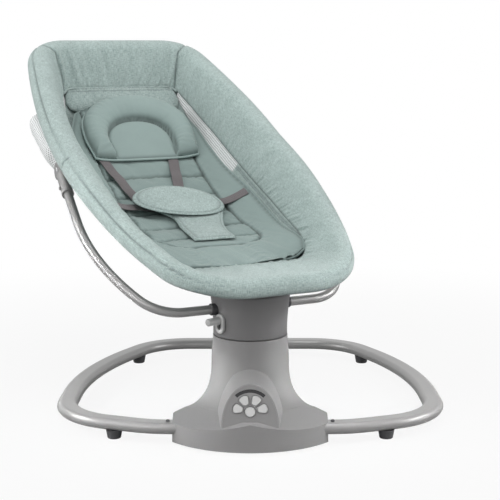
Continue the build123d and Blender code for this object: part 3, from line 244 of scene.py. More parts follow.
class Wire:
    """A socket of a node tree with arithmetic that adds Math nodes."""

    def __init__(self, owner, socket):
        self.owner = owner
        self.socket = socket

    def _math(self, operation, first, second=0.0):
        return self.owner.add("ShaderNodeMath", {"operation": operation}, {0: first, 1: second})

    def __add__(self, other):
        return self._math("ADD", self, other)

    __radd__ = __add__

    def __mul__(self, other):
        return self._math("MULTIPLY", self, other)

    def __sub__(self, other):
        return self._math("SUBTRACT", self, other)

    def __rsub__(self, other):
        return self._math("SUBTRACT", other, self)

    def sine(self):
        return self._math("SINE", self)

    def magnitude(self):
        return self._math("ABSOLUTE", self)

    def above(self, limit):
        return self._math("GREATER_THAN", self, limit)

    def most(self, other):
        return self._math("MAXIMUM", self, other)

    def clamped(self):
        return self.owner.add("ShaderNodeClamp", {}, {"Value": self})


class Tree:
    """A node tree under construction, with one method that makes its nodes."""

    def __init__(self, tree):
        self.tree = tree

    def add(self, kind, settings, inputs, output=0):
        node = self.tree.nodes.new(kind)
        for key, value in settings.items():
            setattr(node, key, value)
        for key, value in inputs.items():
            if isinstance(value, Wire):
                self.tree.links.new(value.socket, node.inputs[key])
            else:
                node.inputs[key].default_value = value
        return Wire(self, node.outputs[output])


class Finish(Tree):
    """A material under construction and the shader it ends in."""

    def __init__(self, name):
        self.material = bpy.data.materials.new(name)
        self.material.use_nodes = True
        super().__init__(self.material.node_tree)
        self.shader = self.tree.nodes["Principled BSDF"]

    def feed(self, socket, value):
        if isinstance(value, Wire):
            self.tree.links.new(value.socket, self.shader.inputs[socket])
        else:
            self.shader.inputs[socket].default_value = value

    def place(self, source, scale=(1, 1, 1)):
        coordinate = self.add("ShaderNodeTexCoord", {}, {}, source)
        return self.add("ShaderNodeMapping", {}, {"Vector": coordinate, "Scale": scale})

    def noise(self, place, scale, detail):
        settings = {"Vector": place, "Scale": scale, "Detail": detail, "Roughness": 0.55}
        return self.add("ShaderNodeTexNoise", {}, settings)

    def mix(self, share, first, second):
        return self.add(
            "ShaderNodeMix", {"data_type": "RGBA"},
            {0: share, 6: (*first, 1) if not isinstance(first, Wire) else first,
             7: (*second, 1) if not isinstance(second, Wire) else second}, 2)

    def seams(self):
        """Painted shade kept with the mesh as its tone: how dark a place is drawn in its seams, folds, edges
        and undersides.
        """
        return self.add("ShaderNodeAttribute", {"attribute_name": "tone"}, {}, "Fac") * 0.85

    def split(self, vector):
        node = self.tree.nodes.new("ShaderNodeSeparateXYZ")
        self.tree.links.new(vector.socket, node.inputs[0])
        return [Wire(self, socket) for socket in node.outputs]

    def bump(self, height, depth, strength):
        settings = {"Height": height, "Distance": depth, "Strength": strength}
        self.feed("Normal", self.add("ShaderNodeBump", {}, settings))


def shade(colour, factor):
    """A colour made lighter or darker."""
    return tuple(min(1.0, c * factor) for c in colour)


def woven_heather(name, light, dark):
    """Melange cloth: flecks of two thread colours along both ways of a plain weave."""
    f = Finish(name)
    flat = f.place("UV")
    warp = f.noise(f.place("UV", (820, 130, 1)), 1.0, 3)
    weft = f.noise(f.place("UV", (130, 820, 1)), 1.0, 3)
    cloud = f.noise(flat, 26.0, 3)
    fleck = ((warp + weft) * 0.5 - 0.5) * 5.0 + (cloud - 0.5) * 0.7 + 0.52
    # Painted shade: the mesh's tone mixes the cloth towards a darker copy of its dark thread
    f.feed("Base Color", f.mix(f.seams(), f.mix(fleck.clamped(), dark, light), shade(dark, 0.3)))
    x, y, _ = f.split(flat)
    weave = (x * (2 * pi / THREAD)).sine() * (y * (2 * pi / THREAD)).sine()
    f.bump(weave * 0.5 + (warp + weft) * 0.8, 0.0005, 0.55)
    f.feed("Roughness", 0.78 + (fleck.clamped() * 0.12))
    f.feed("Sheen Weight", 0.25)
    f.feed("Sheen Roughness", 0.5)
    f.feed("Specular IOR Level", 0.2)
    return f.material


def heather(name, look, factor=1.0):
    """Melange cloth in the seat's own colours, made lighter or darker."""
    return woven_heather(name, shade(look.heather, factor), shade(look.heather_shade, factor))


def smooth_lining(name, colour):
    """Fine brushed cloth with a faint twill and slow shifts of tone."""
    f = Finish(name)
    flat = f.place("UV")
    cloud = f.noise(flat, 14.0, 4)
    grain = f.noise(f.place("UV", (620, 620, 1)), 1.0, 2)
    tone = (cloud - 0.5) * 0.7 + (grain - 0.5) * 0.5 + 0.5
    cloth = f.mix(tone.clamped(), shade(colour, 0.86), shade(colour, 1.13))
    # Painted shade: the mesh's tone mixes the cloth towards a darker copy of its colour
    f.feed("Base Color", f.mix(f.seams(), cloth, shade(colour, 0.22)))
    x, y, _ = f.split(flat)
    twill = ((x + y) * (2 * pi / TWILL)).sine()
    f.bump(twill * 0.4 + grain * 0.6, 0.0003, 0.4)
    f.feed("Roughness", 0.72 + grain * 0.12)
    f.feed("Sheen Weight", 0.2)
    f.feed("Sheen Roughness", 0.45)
    f.feed("Specular IOR Level", 0.25)
    return f.material


def ribbed_webbing(name, colour):
    """Flat harness webbing with lengthwise ribs and cross picks."""
    f = Finish(name)
    flat = f.place("UV")
    x, y, _ = f.split(flat)
    ribs = (x * (2 * pi / WEB_RIB)).sine()
    picks = (y * (2 * pi / WEB_PICK)).sine()
    grain = f.noise(f.place("UV", (500, 900, 1)), 1.0, 2)
    tone = ribs * 0.22 + picks * 0.12 + (grain - 0.5) * 0.5 + 0.5
    f.feed("Base Color", f.mix(tone.clamped(), shade(colour, 0.78), shade(colour, 1.25)))
    f.bump(ribs + picks * 0.6, 0.0004, 0.7)
    f.feed("Roughness", 0.62 + grain * 0.14)
    f.feed("Sheen Weight", 0.15)
    return f.material


def open_mesh(name, colour):
    """White spacer mesh with rounded holes in a grid."""
    f = Finish(name)
    x, y, _ = f.split(f.place("UV"))
    pitch = 2 * pi / MESH_PITCH
    cells = (x * pitch).sine() * (y * pitch).sine()
    holes = cells.magnitude().above(0.62)
    grain = f.noise(f.place("UV", (400, 400, 1)), 1.0, 2)
    f.feed("Base Color", f.mix(grain, shade(colour, 0.9), shade(colour, 1.12)))
    f.feed("Alpha", 1 - holes * 0.6)
    f.bump(1 - cells.magnitude(), 0.0006, 0.6)
    f.feed("Roughness", 0.7 + grain * 0.1)
    return f.material


def moulded_plastic(name, colour, rough):
    """Injection-moulded plastic with a fine erosion grain."""
    f = Finish(name)
    body = f.place("Object")
    grain = f.noise(body, 950.0, 3)
    cloud = f.noise(body, 9.0, 3)
    tone = (cloud - 0.5) * 0.5 + (grain - 0.5) * 0.25 + 0.5
    f.feed("Base Color", f.mix(tone.clamped(), shade(colour, 0.93), shade(colour, 1.07)))
    f.feed("Roughness", rough + (grain - 0.5) * 0.14)
    f.bump(grain, 0.00035, 0.35)
    f.feed("Specular IOR Level", 0.42)
    return f.material


def painted_tube(name, colour):
    """Satin powder coat with a slight orange peel."""
    f = Finish(name)
    body = f.place("Object")
    peel = f.noise(body, 420.0, 2)
    cloud = f.noise(body, 12.0, 3)
    f.feed("Base Color", f.mix(cloud, shade(colour, 0.95), shade(colour, 1.05)))
    f.feed("Roughness", 0.36 + (peel - 0.5) * 0.05)
    f.feed("Metallic", 0.3)
    f.bump(peel, 0.0001, 0.012)
    f.feed("Coat Weight", 0.15)
    f.feed("Coat Roughness", 0.3)
    return f.material


def soft_rubber(name, colour):
    """Dark rubber with a dusty bloom."""
    f = Finish(name)
    body = f.place("Object")
    dust = f.noise(body, 160.0, 4)
    f.feed("Base Color", f.mix(dust, shade(colour, 0.8), shade(colour, 1.5)))
    f.feed("Roughness", 0.7 + (dust - 0.5) * 0.25)
    f.bump(dust, 0.0004, 0.4)
    return f.material


def bare_metal(name, colour):
    """Drawn steel with fine lengthwise lines."""
    f = Finish(name)
    lines = f.noise(f.place("Object", (900, 900, 60)), 1.0, 2)
    f.feed("Base Color", f.mix(lines, shade(colour, 0.9), shade(colour, 1.06)))
    f.feed("Metallic", 1.0)
    f.feed("Roughness", 0.28 + lines * 0.14)
    f.bump(lines, 0.0002, 0.3)
    return f.material


def circuit_board(name):
    """Green lacquered board with lighter tracks."""
    f = Finish(name)
    x, _, z = f.split(f.place("Object"))
    tracks = ((x * 900.0).sine() + (z * 900.0).sine()).above(0.9)
    f.feed("Base Color", f.mix(tracks, (0.015, 0.09, 0.04), (0.06, 0.2, 0.09)))
    f.feed("Roughness", 0.35 + tracks * 0.1)
    f.bump(tracks, 0.0002, 0.4)
    return f.material


# Seat geometry

def seat_xyz(v, u, w):
    """Points along the seat's own axes, millimetres in, metres in the part's frame out."""
    v, u, w = np.broadcast_arrays(v, u, w)
    return SEAT_ORIGIN + (v[..., None] * ACROSS + u[..., None] * HEADWARD + w[..., None] * SEATWARD) * 0.001


def smooth(x, low, high):
    """Eased step from 0 at low to 1 at high."""
    t = np.clip((np.asarray(x, float) - low) / (high - low), 0, 1)
    return t * t * (3 - 2 * t)


def ridge(x, width):
    """Bell of height 1 round zero."""
    return np.exp(-((np.asarray(x, float) / width) ** 2))


def curve_through(points, x):
    """Smooth height over x through points."""
    px = np.array([p[0] for p in points], float)
    py = np.array([p[1] for p in points], float)
    slope = np.gradient(py, px)
    i = np.clip(np.searchsorted(px, x) - 1, 0, len(px) - 2)
    h = px[i + 1] - px[i]
    t = np.clip((x - px[i]) / h, 0, 1)
    a = (1 + 2 * t) * (1 - t) ** 2
    b = t * (1 - t) ** 2
    return a * py[i] + b * h * slope[i] + (1 - a) * py[i + 1] + (t * t * (t - 1)) * h * slope[i + 1]


def line_through(points, x):
    """Straight runs of height over x between points."""
    return np.interp(x, [p[0] for p in points], [p[1] for p in points])


def pan(u):
    """Height of the sling's floor."""
    return curve_through(SLING_PAN, np.asarray(u, float))


def rim_lift(u):
    """Height of the rim's centreline over its mean plane."""
    u = np.asarray(u, float)
    reach = np.sqrt((u - RIM_SPLIT) ** 2 + RIM_EASE ** 2) - RIM_EASE
    return reach * np.where(u > RIM_SPLIT, sin(HEAD_CURL), sin(FOOT_CURL))


def rounded_loop(corners, bends, count):
    """Closed outline with rounded corners, evenly spaced, and its outward directions."""
    corners = [np.array(c, float) for c in corners]
    dense = []
    for i, corner in enumerate(corners):
        back = corners[i - 1] - corner
        ahead = corners[(i + 1) % len(corners)] - corner
        back = back / np.linalg.norm(back)
        ahead = ahead / np.linalg.norm(ahead)
        half = np.arccos(np.clip(back @ ahead, -1, 1)) / 2
        centre = corner + (back + ahead) / np.linalg.norm(back + ahead) * bends[i] / sin(half)
        start = corner + back * bends[i] / np.tan(half) - centre
        end = corner + ahead * bends[i] / np.tan(half) - centre
        first = atan2(start[1], start[0])
        turn = (atan2(end[1], end[0]) - first + pi) % (2 * pi) - pi
        for t in np.linspace(0, 1, 16):
            a = first + turn * t
            dense.append(centre + bends[i] * np.array((cos(a), sin(a))))
    dense = np.array(dense + dense[:1])
    run = np.concatenate(([0], np.cumsum(np.linalg.norm(np.diff(dense, axis=0), axis=1))))
    at = np.linspace(0, run[-1], count + 1)
    loop = np.stack([np.interp(at, run, dense[:, k]) for k in (0, 1)], 1)
    along = np.gradient(loop, axis=0)
    along[0] = along[-1] = loop[1] - loop[-2]
    along = along / np.linalg.norm(along, axis=1)[:, None]
    return loop, np.stack((along[:, 1], -along[:, 0]), 1), at


def both_sides(corners):
    """Corners of the right side followed by their mirror images."""
    return corners + [(-v, u) for v, u in reversed(corners)]


RIM_LOOP, RIM_OUT, RIM_RUN = rounded_loop(both_sides(RIM_CORNERS), RIM_BENDS + RIM_BENDS[::-1], 1200)
EDGE_LOOP = rounded_loop(both_sides(COVER_CORNERS), COVER_BENDS + COVER_BENDS[::-1], 900)[0]


def round_rim(a):
    """Rim point, outward direction and length run for shares of the way round."""
    share = np.asarray(a, float) * (len(RIM_LOOP) - 1)
    index = np.arange(len(RIM_LOOP))
    return [np.interp(share, index, column) for column in (*RIM_LOOP.T, *RIM_OUT.T, RIM_RUN)]


def ripple(run, waves, seed):
    """Sum of waves of the given lengths with fixed random phases."""
    phases = np.random.default_rng(seed).uniform(0, 2 * pi, len(waves))
    return sum(np.sin(2 * pi * run / wave + phase) for wave, phase in zip(waves, phases)) / len(waves)


def rim_ripple(run, waves, seed):
    """Such waves with whole numbers of them round the rim, so that they meet."""
    return ripple(run, [RIM_RUN[-1] / round(RIM_RUN[-1] / wave) for wave in waves], seed)


def wall_line(a, inset):
    """Inner wall of the seat: top and bottom points and the share of it above the sling's floor."""
    v, u, nv, nu, _ = round_rim(a)
    fv, fu = v * FLOOR_SCALE, FLOOR_FOOT + (u - RIM_FOOT) * FLOOR_STRETCH
    tv, tu = v - nv * inset, u - nu * inset
    # Halved steps towards the place where the wall meets the floor
    low = np.zeros_like(tv)
    high = np.ones_like(tv)
    for _ in range(24):
        share = (low + high) / 2
        below = -FLOOR_DEPTH * share < pan(tu + (fu - tu) * share) + SLING_WALL
        high = np.where(below, share, high)
        low = np.where(below, low, share)
    return tv, tu, fv, fu, share


def cover_edge(a):
    """Inner edge of the rim cover, met by a straight line from the seat's middle."""
    v, u = round_rim(a)[:2]
    bearing = np.unwrap(np.arctan2(EDGE_LOOP[:, 1] - EDGE_MIDDLE, EDGE_LOOP[:, 0]))
    wanted = np.arctan2(u - EDGE_MIDDLE, v)
    wanted = bearing[0] + (wanted - bearing[0]) % (2 * pi)
    index = np.arange(len(EDGE_LOOP))
    share = np.interp(wanted, bearing, index)
    ev, eu = (np.interp(share, index, column) for column in EDGE_LOOP.T)
    return ev, eu, curve_through(COVER_LEVEL, eu)


def edge_share(sign, u):
    """Share of the way round at which the cover's edge is at one place along one side."""
    way = np.linspace(0, 1, 1601)
    ev, eu, _ = cover_edge(way)
    return way[np.argmin(np.abs(eu - u) + 1000 * (ev * sign < SIDE_LEAST))]


def near_share(sign, u):
    """Share of the way round the rim at one place along one side."""
    side = np.where(RIM_LOOP[:, 0] * sign > SIDE_LEAST)[0]
    return side[np.argmin(np.abs(RIM_LOOP[side, 1] - u))] / (len(RIM_LOOP) - 1)


def near_runs(v, u):
    """Lengths round the rim nearest to a place on the right and its mirror image."""
    return [RIM_RUN[np.argmin(np.hypot(RIM_LOOP[:, 0] - sign * v, RIM_LOOP[:, 1] - u))] for sign in (1, -1)]


def pad_base(v, u):
    """Underside of the insert: flat on the sling, rising against the walls."""
    half = np.maximum(line_through(PAD_EDGE, u), SIDE_LEAST)
    flat = pan(u) + SLING_WALL + PAD_LIFT
    return flat + np.maximum(curve_through(PAD_LEVEL, u) - flat, 0) * np.clip(np.abs(v) / half, 0, 1) ** 5


def dome_half(u, half, foot, head):
    """Half width of a shape with a straight foot edge and a rounded head."""
    x = np.clip((np.asarray(u, float) - foot) / (head - foot), 0, 1)
    low = DOME_FOOT + (1 - DOME_FOOT) * smooth(x, 0, DOME_SIDE)
    high = (1 - np.clip((x - DOME_SIDE) / (1 - DOME_SIDE), 0, 1) ** 2.6) ** (1 / 2.2)
    return half * np.where(x < DOME_SIDE, low, high)


def dome_sides(half, foot, head):
    """Points up the right and the left side of such a shape."""
    u = foot + (head - foot) * np.sin(np.linspace(0, pi / 2, 90))
    h = dome_half(u, half, foot, head)
    return list(zip(h, u)), list(zip(-h, u))


def pillow_curl(v):
    """Rise of the pillow's underside towards its sides."""
    return PILLOW_CURL * np.clip(np.abs(v) / PILLOW_HALF, 0, 1) ** 5


# Meshes

def cloth_at(across, along):
    """Cloth coordinates in metres from millimetres."""
    return np.stack((across, along), 1) * 0.001


def new_grid(name, across, along, surface, *settings):
    """Adds a grid and moves its points onto a surface, which also gives cloth coordinates and painted shade
    kept as tone.
    """
    bpy.ops.object.select_all(action="DESELECT")
    bpy.ops.mesh.primitive_grid_add(x_subdivisions=across, y_subdivisions=along, size=2)
    piece = bpy.context.object
    mesh = piece.data
    piece.name = mesh.name = name
    co = np.zeros(len(mesh.vertices) * 3)
    mesh.vertices.foreach_get("co", co)
    co = co.reshape(-1, 3)
    points, cloth, *tone = surface((co[:, 0] + 1) / 2, (co[:, 1] + 1) / 2, *settings)
    mesh.vertices.foreach_set("co", points.astype(np.float32).ravel())
    corner = np.zeros(len(mesh.loops), int)
    mesh.loops.foreach_get("vertex_index", corner)
    mesh.uv_layers.active.data.foreach_set("uv", cloth[corner].astype(np.float32).ravel())
    layer = mesh.attributes.new("tone", "FLOAT", "POINT")
    if tone:
        layer.data.foreach_set("value", np.clip(tone[0], 0, 1).astype(np.float32))
    mesh.update()
    return piece


def pick_only(piece):
    """Makes a piece the only selected one and the active one."""
    bpy.ops.object.select_all(action="DESELECT")
    piece.select_set(True)
    bpy.context.view_layer.objects.active = piece


def edit(piece, *steps):
    """Runs edit-mode operators on everything in a piece."""
    pick_only(piece)
    bpy.ops.object.mode_set(mode="EDIT")
    bpy.ops.mesh.select_all(action="SELECT")
    for operator, settings in steps:
        operator(**settings)
    bpy.ops.object.mode_set(mode="OBJECT")


def face_out(piece):
    """Turns all faces the same way, outwards where there is an outside."""
    edit(piece, (bpy.ops.mesh.normals_make_consistent, {"inside": False}))


def close_up(piece):
    """Joins seams and poles and turns the faces outwards."""
    edit(piece, (bpy.ops.mesh.remove_doubles, {"threshold": WELD}),
         (bpy.ops.mesh.dissolve_degenerate, {"threshold": SLIVER}))
    face_out(piece)
    return piece


def modify(piece, kind, **settings):
    """Adds a modifier, sets it and applies it."""
    pick_only(piece)
    modifier = piece.modifiers.new(kind.lower(), kind)
    for key, value in settings.items():
        setattr(modifier, key, value)
    bpy.ops.object.modifier_apply(modifier=modifier.name)


def dress(piece, material, slot, *nodes):
    """Smooth shading and finish for a piece of the seat, which hides the solids that it stands for; the slot
    is not used.
    """
    pick_only(piece)
    bpy.ops.object.shade_smooth()
    piece.data.materials.clear()
    piece.data.materials.append(material)
    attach(piece, "seat")
    if nodes:
        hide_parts(*nodes)


def tube_along(name, points, radius, closed):
    """Round piping along points."""
    points = np.array(points, float)
    if closed:
        points = np.vstack((points, points[:1]))
    run = np.concatenate(([0], np.cumsum(np.linalg.norm(np.diff(points, axis=0), axis=1))))
    way = np.gradient(points, axis=0)
    if closed:
        way[0] = way[-1] = points[1] - points[-2]
    way = way / np.linalg.norm(way, axis=1)[:, None]
    side = np.cross(way, SEATWARD)
    side = side / np.linalg.norm(side, axis=1)[:, None]
    up = np.cross(side, way)

    def surface(a, b):
        share = b * (len(points) - 1)
        index = np.arange(len(points))
        middle, aside, above = (
            np.stack([np.interp(share, index, column) for column in table.T], 1)
            for table in (points, side, up))
        ends = 1.0 if closed else np.sqrt(np.clip(np.minimum(b, 1 - b) * run[-1] / radius, 0.0, 1))[:, None]
        turn = 2 * pi * a
        out = (aside * np.cos(turn)[:, None] + above * np.sin(turn)[:, None]) * ends
        return middle + out * radius, np.stack((a * 2 * pi * radius, np.interp(share, index, run)), 1)

    return close_up(new_grid(name, PIPING_SIDES, len(points) - 1, surface))


def edge_distance(v, u, outline):
    """Distance of each place from the nearest point of an outline."""
    best = np.full(len(v), 1e9)
    for ov, ou in outline:
        best = np.minimum(best, (v - ov) ** 2 + (u - ou) ** 2)
    return np.sqrt(best)


def puff(distance, reach):
    """Rounded rise from an edge to full height."""
    t = np.clip(distance / reach, 0, 1)
    return np.sqrt(1 - (1 - t) ** 2)


# Surfaces of the soft pieces: a and b are shares of the two ways over each

def cover_surface(a, b, fat, seam):
    """Rim cover: round the roll from below, then straight down the wall to its inner edge."""
    v, u, nv, nu, run = round_rim(a)
    slim = ROLL_SLIM * smooth(-u, 40, 290)
    roll = fat - slim
    lift = rim_lift(u) - slim
    ev, eu, level = cover_edge(a)
    # Where the cloth leaves the roll for the straight wall
    inset = (v - ev) * nv + (u - eu) * nu
    far = np.hypot(inset, level - lift)
    leave = np.arctan2(level - lift, inset) + np.arccos(np.clip(roll / far, 0, 1))
    arc = roll * (2 * pi + ROLL_START - leave)
    wall = np.sqrt(far ** 2 - roll ** 2)
    along = b * (arc + wall)
    angle = 2 * pi + ROLL_START - np.minimum(along, arc) / roll
    share = np.clip((along - arc) / wall, 0, 1)
    nx, nz = np.cos(angle), np.sin(angle)
    bv, bu, z = v - nv * roll * nx, u - nu * roll * nx, roll * nz + lift
    bv, bu, z = bv + (ev - bv) * share, bu + (eu - bu) * share, z + (level - z) * share
    # Folds of the cloth, fading towards the places where it is held
    to_seam = arc + wall - along
    on_roll = share <= 0
    middle = np.sin(pi * np.clip(to_seam / (wall + 24), 0, 1))
    headness = smooth(u, 230, 320) * smooth(nu, 0.4, 0.9)
    swell = 0.35 * rim_ripple(run, (190, 310, 440), 3) * ridge(angle - pi / 2, 1.3)
    swell += (2.6 - 1.8 * smooth(-u, 40, 250)) * middle
    gathers = rim_ripple(run + 0.3 * to_seam, (9, 13, 19, 31), 5) * ridge(to_seam - 10, 15)
    gathers = gathers * 2.6 * smooth(to_seam, 0, 6)
    slack = rim_ripple(run + 0.5 * to_seam, (37, 61, 97), 7) * middle * 1.1
    folds = rim_ripple(run, (19, 29, 43), 8) * middle * headness * 4.2
    # Seams along the roll, at the head's corners and over the connectors
    out_seam = ridge(angle - OUT_SEAM, 1.5 / roll) * on_roll * (1 - 0.75 * smooth(-nu, 0.5, 0.9))
    lean = 9 * np.sign(v) * (1 - share) * smooth(angle, 0.1, 1.4)
    corner = sum(ridge(run + lean - spot, 1.7) for spot in near_runs(*CORNER_SEAM))
    corner = corner * smooth(angle, radians(225), radians(205))
    slit = sum(ridge(run - spot, 1.7) for spot in near_runs(*CONNECTOR_SLIT))
    slit = slit * smooth(angle, radians(118), radians(126)) * on_roll
    edge = ridge(to_seam - 1, 1.9)
    pucker = rim_ripple(run, (6.5, 9, 12), 14) * 0.25 * ridge(angle - OUT_SEAM, 7 / roll) * on_roll
    off = swell + gathers + slack + folds + pucker
    off = off - seam * (out_seam + corner * 1.4 + slit * 1.4) - 1.2 * edge
    # Underside pulled flat at the foot; painted shade on the underside all round, more of it at the foot and
    # along the under seam there
    at_foot = smooth(-nu, 0.35, 0.9)
    off -= 5.0 * smooth(angle, radians(176), radians(228)) * at_foot
    below = smooth(angle, np.radians(196 - 32 * at_foot), np.radians(240 - 44 * at_foot))
    under_seam = ridge(angle - UNDER_SEAM, 1.4 / roll) * at_foot
    off -= 0.8 * seam * under_seam
    # Painted shade in the roll's seams, the head's corner seams, the slit and along the cover's inner edge,
    # and on the underside
    tone = 0.75 * out_seam + 0.9 * corner + 0.9 * slit + 0.85 * edge
    tone = tone + (0.6 + 0.25 * at_foot) * below + 0.3 * under_seam
    points = seat_xyz(bv - nv * nx * off, bu - nu * nx * off, z + nz * off)
    return points, cloth_at(along, run), tone


def sling_surface(a, b):
    """Sling: down the walls in the first half of b, over the floor in the second."""
    tv, tu, fv, fu, share = wall_line(a, SLING_INSET)
    _, u, nv, nu, run = round_rim(a)
    lift = rim_lift(u)
    wall = np.clip(b / 0.5, 0, 1)
    floor = np.clip((b - 0.5) / 0.5, 0, 1)
    jv, ju = tv + (fv - tv) * share, tu + (fu - tu) * share
    mid = np.clip(ju, -300, 190)
    pv = np.where(b < 0.5, tv + (fv - tv) * share * wall, jv * (1 - floor))
    pu = np.where(b < 0.5, tu + (fu - tu) * share * wall, ju + (mid - ju) * floor)
    sag = 4 * np.sin(pi * floor) * (b > 0.5)
    side = (lift - SLING_DROP) * (1 - wall) - FLOOR_DEPTH * share * wall
    pw = np.where(b < 0.5, side, pan(pu) + 1.5 - sag)
    soften = ridge(b - 0.5, 0.06) * 4
    belly = 3.0 * np.sin(pi * wall) * (b < 0.5)
    belly = belly + rim_ripple(run, (31, 47, 83), 21) * 1.5 * np.sin(pi * wall)
    pw = pw + soften + rim_ripple(run, (53, 91), 22) * 1.2 * np.sin(pi * floor) * (b > 0.5)
    pv, pu = pv + nv * belly, pu + nu * belly
    depth = np.hypot(np.hypot(fv - tv, fu - tu), FLOOR_DEPTH) * share
    across = np.where(b < 0.5, depth * wall, depth + np.hypot(jv, ju - mid) * floor)
    return seat_xyz(pv, pu, pw), cloth_at(across, run)


def strip_surface(a, b, low, high):
    """Strip of a side wall below the cover's edge, between two shares of the way round."""
    way = low + (high - low) * a
    _, _, nv, nu, run = round_rim(way)
    ev, eu, level = cover_edge(way)
    drop = STRIP_DROP * (1 - 0.5 * smooth(eu, 170, 275)) * (1 - 0.55 * smooth(-eu, 150, 262))
    inward = -3.4 + (0.36 * drop + 2.4) * b + ripple(run, (23, 41), 31) * 0.7 * np.sin(pi * b)
    # Painted shade along two stitch lines towards the foot and along the strip's lower edge
    stitch = ridge(b - 0.3, 0.05) + ridge(b - 0.42, 0.05)
    tone = np.where(eu < STRIP_FOOT, 0.55 * stitch, 0.0) + 0.5 * ridge(b - 1, 0.1)
    points = seat_xyz(ev - nv * inward, eu - nu * inward, level + 3 - drop * b)
    return points, cloth_at(run, drop * b), tone


def pouch_surface(a, b, start, end):
    """Mesh pouch that bulges outside a side wall, between two shares of the way round."""
    way = start + (end - start) * a
    v, u, nv, nu, run = round_rim(way)
    out = np.abs(v) - POUCH_OUT
    bulge = smooth(a, 0.0, 0.35) * smooth(1 - a, 0.0, 0.12)
    level = curve_through(POUCH_LEVEL, b)
    flat = curve_through(POUCH_FLAT, b)
    puffed = curve_through(POUCH_PUFF, b)
    x = flat + (out - flat) * puffed * bulge + ripple(run, (17, 29), 33) * 0.8 * np.sin(pi * b)
    # Painted shade along the pouch's edges, kept as its tone, which the open mesh finish does not read
    edge = ridge(np.minimum(np.minimum(a, 1 - a) * 4, np.minimum(b, 1 - b)), 0.06)
    points = seat_xyz(v - nv * x, u - nu * x, level + rim_lift(u) * (1 - b))
    return points, cloth_at(run, POUCH_DEPTH * b), edge


def insert_surface(a, b, outline, seam):
    """Insert pad: quilted top in the first half of a, underside in the second."""
    ease = b * 0.5 + 0.5 * (1 - np.cos(pi * b)) / 2
    u = PAD_EDGE[0][0] + (PAD_EDGE[-1][0] - PAD_EDGE[0][0]) * ease
    h = line_through(PAD_EDGE, u)
    v = h * np.cos(2 * pi * a)
    d = edge_distance(v, u, outline)
    base = pad_base(v, u)
    tilt = pad_base(v + 0.5, u) - pad_base(v - 0.5, u)
    top = 3 + 11.5 * puff(d, 22)
    bend = np.clip((PAD_SEAM_FOOT + PAD_SEAM_BEND - u) / PAD_SEAM_BEND, 0, 1)
    seam_v = PAD_SEAM_HALF - PAD_SEAM_BEND * (1 - np.sqrt(np.clip(1 - bend ** 2, 0, 1)))
    inside = smooth(seam_v - np.abs(v), -4, 4) * smooth(u, PAD_SEAM_FOOT - 4, PAD_SEAM_FOOT + 4)
    side_seam = ridge(np.abs(v) - seam_v, 2.6) * (u > PAD_SEAM_FOOT)
    foot_seam = ridge(u - PAD_SEAM_FOOT, 2.6)
    foot_seam = foot_seam * smooth(PAD_SEAM_HALF - PAD_SEAM_BEND - np.abs(v), -6, 6)
    # Quilted channels inside the border seam
    bow = u + 0.0009 * v * v
    channels = sum(ridge(bow - c, 2.8) for c in PAD_CHANNELS) * inside
    near = sum(ridge(bow - c, 14) for c in PAD_CHANNELS) * inside
    quilt = -np.cos(2 * pi * (bow - PAD_CHANNELS[0]) / PAD_PITCH) * 2.2 * inside
    quilt = quilt * smooth(u, PAD_SEAM_FOOT, -185)
    crinkle = ripple(u + 9 * np.sin(v / 13), (8, 12, 18), 41) * 1.5 * ridge(np.abs(v) - seam_v, 15)
    crinkle += ripple(v + 15 * np.sin(u / 21), (10, 16, 27), 43) * 1.3 * near
    crinkle += ripple(v * 0.9 + u * 0.5, (15, 23, 39), 46) * 0.4 * smooth(d, 4, 18)
    lumps = ripple(u * 0.7 + v, (47, 83), 44)
    top = top + (quilt + crinkle + lumps) * smooth(d, 0, 14)
    border = np.maximum(side_seam, foot_seam)
    top = top - seam * 2.3 * border - seam * 2.0 * channels
    under = 3 * (1 - np.clip(d / 9, 0, 1))
    rise = np.where(a <= 0.5, np.maximum(top, under), under)
    slant = np.sqrt(1 + tilt ** 2)
    # Painted shade in the border seam and the quilt channels on top, and round the pad's edge
    tone = (0.85 * border + 0.7 * channels) * (a <= 0.5) + 0.4 * ridge(d, 2.5)
    points = seat_xyz(v - rise * tilt / slant, u, base + rise / slant)
    return points, cloth_at(v + (a > 0.5) * PAD_UNDER_SHIFT, u), tone


def pillow_surface(a, b, outline, dish, seam):
    """Head pillow: horseshoe ring round a flat dish above, underside in the second half of a."""
    u = PILLOW_FOOT + (PILLOW_HEAD - PILLOW_FOOT) * np.sin(b * pi / 2)
    h = dome_half(u, PILLOW_HALF, PILLOW_FOOT, PILLOW_HEAD)
    v = h * np.cos(2 * pi * a)
    d = np.minimum(edge_distance(v, u, outline), 0.6 * (u - PILLOW_FOOT))
    e = edge_distance(v, u, dish)
    in_dish = np.abs(v) < dome_half(u, DISH_HALF, DISH_FOOT, DISH_HEAD)
    in_dish = in_dish & (u < DISH_HEAD) & (u > DISH_FOOT - 6)
    ring = 4 + 24 * puff(np.minimum(d, np.where(in_dish, 0, e + 3)), 24)
    bed = 6 + 5.5 * puff(np.minimum(e, d), 30)
    around = np.arctan2(u - PILLOW_MIDDLE, v) * PILLOW_MEAN_R
    creases = ripple(around, (10, 14, 19, 31), 51) * (ridge(d - 6, 14) + 0.8 * ridge(e - 4, 11)) * 1.1
    top = np.where(in_dish, bed, ring) + creases * (~in_dish) * smooth(d, 0, 9)
    top = top - seam * 1.6 * ridge(e, 2.4)
    base = pan(u) + SLING_WALL + PILLOW_LIFT + pillow_curl(v)
    under = 4 * (1 - np.clip(d / 12, 0, 1))
    w = base + np.where(a <= 0.5, np.maximum(top, under), under)
    # Painted shade along the dish's seam and round the pillow's edge, on top only
    tone = (0.8 * ridge(e, 2.2) * (u > DISH_FOOT + 4) + 0.5 * ridge(d, 2.5)) * (a <= 0.5)
    return seat_xyz(v, u, w), cloth_at(v + (a > 0.5) * UNDER_SHIFT, u), tone


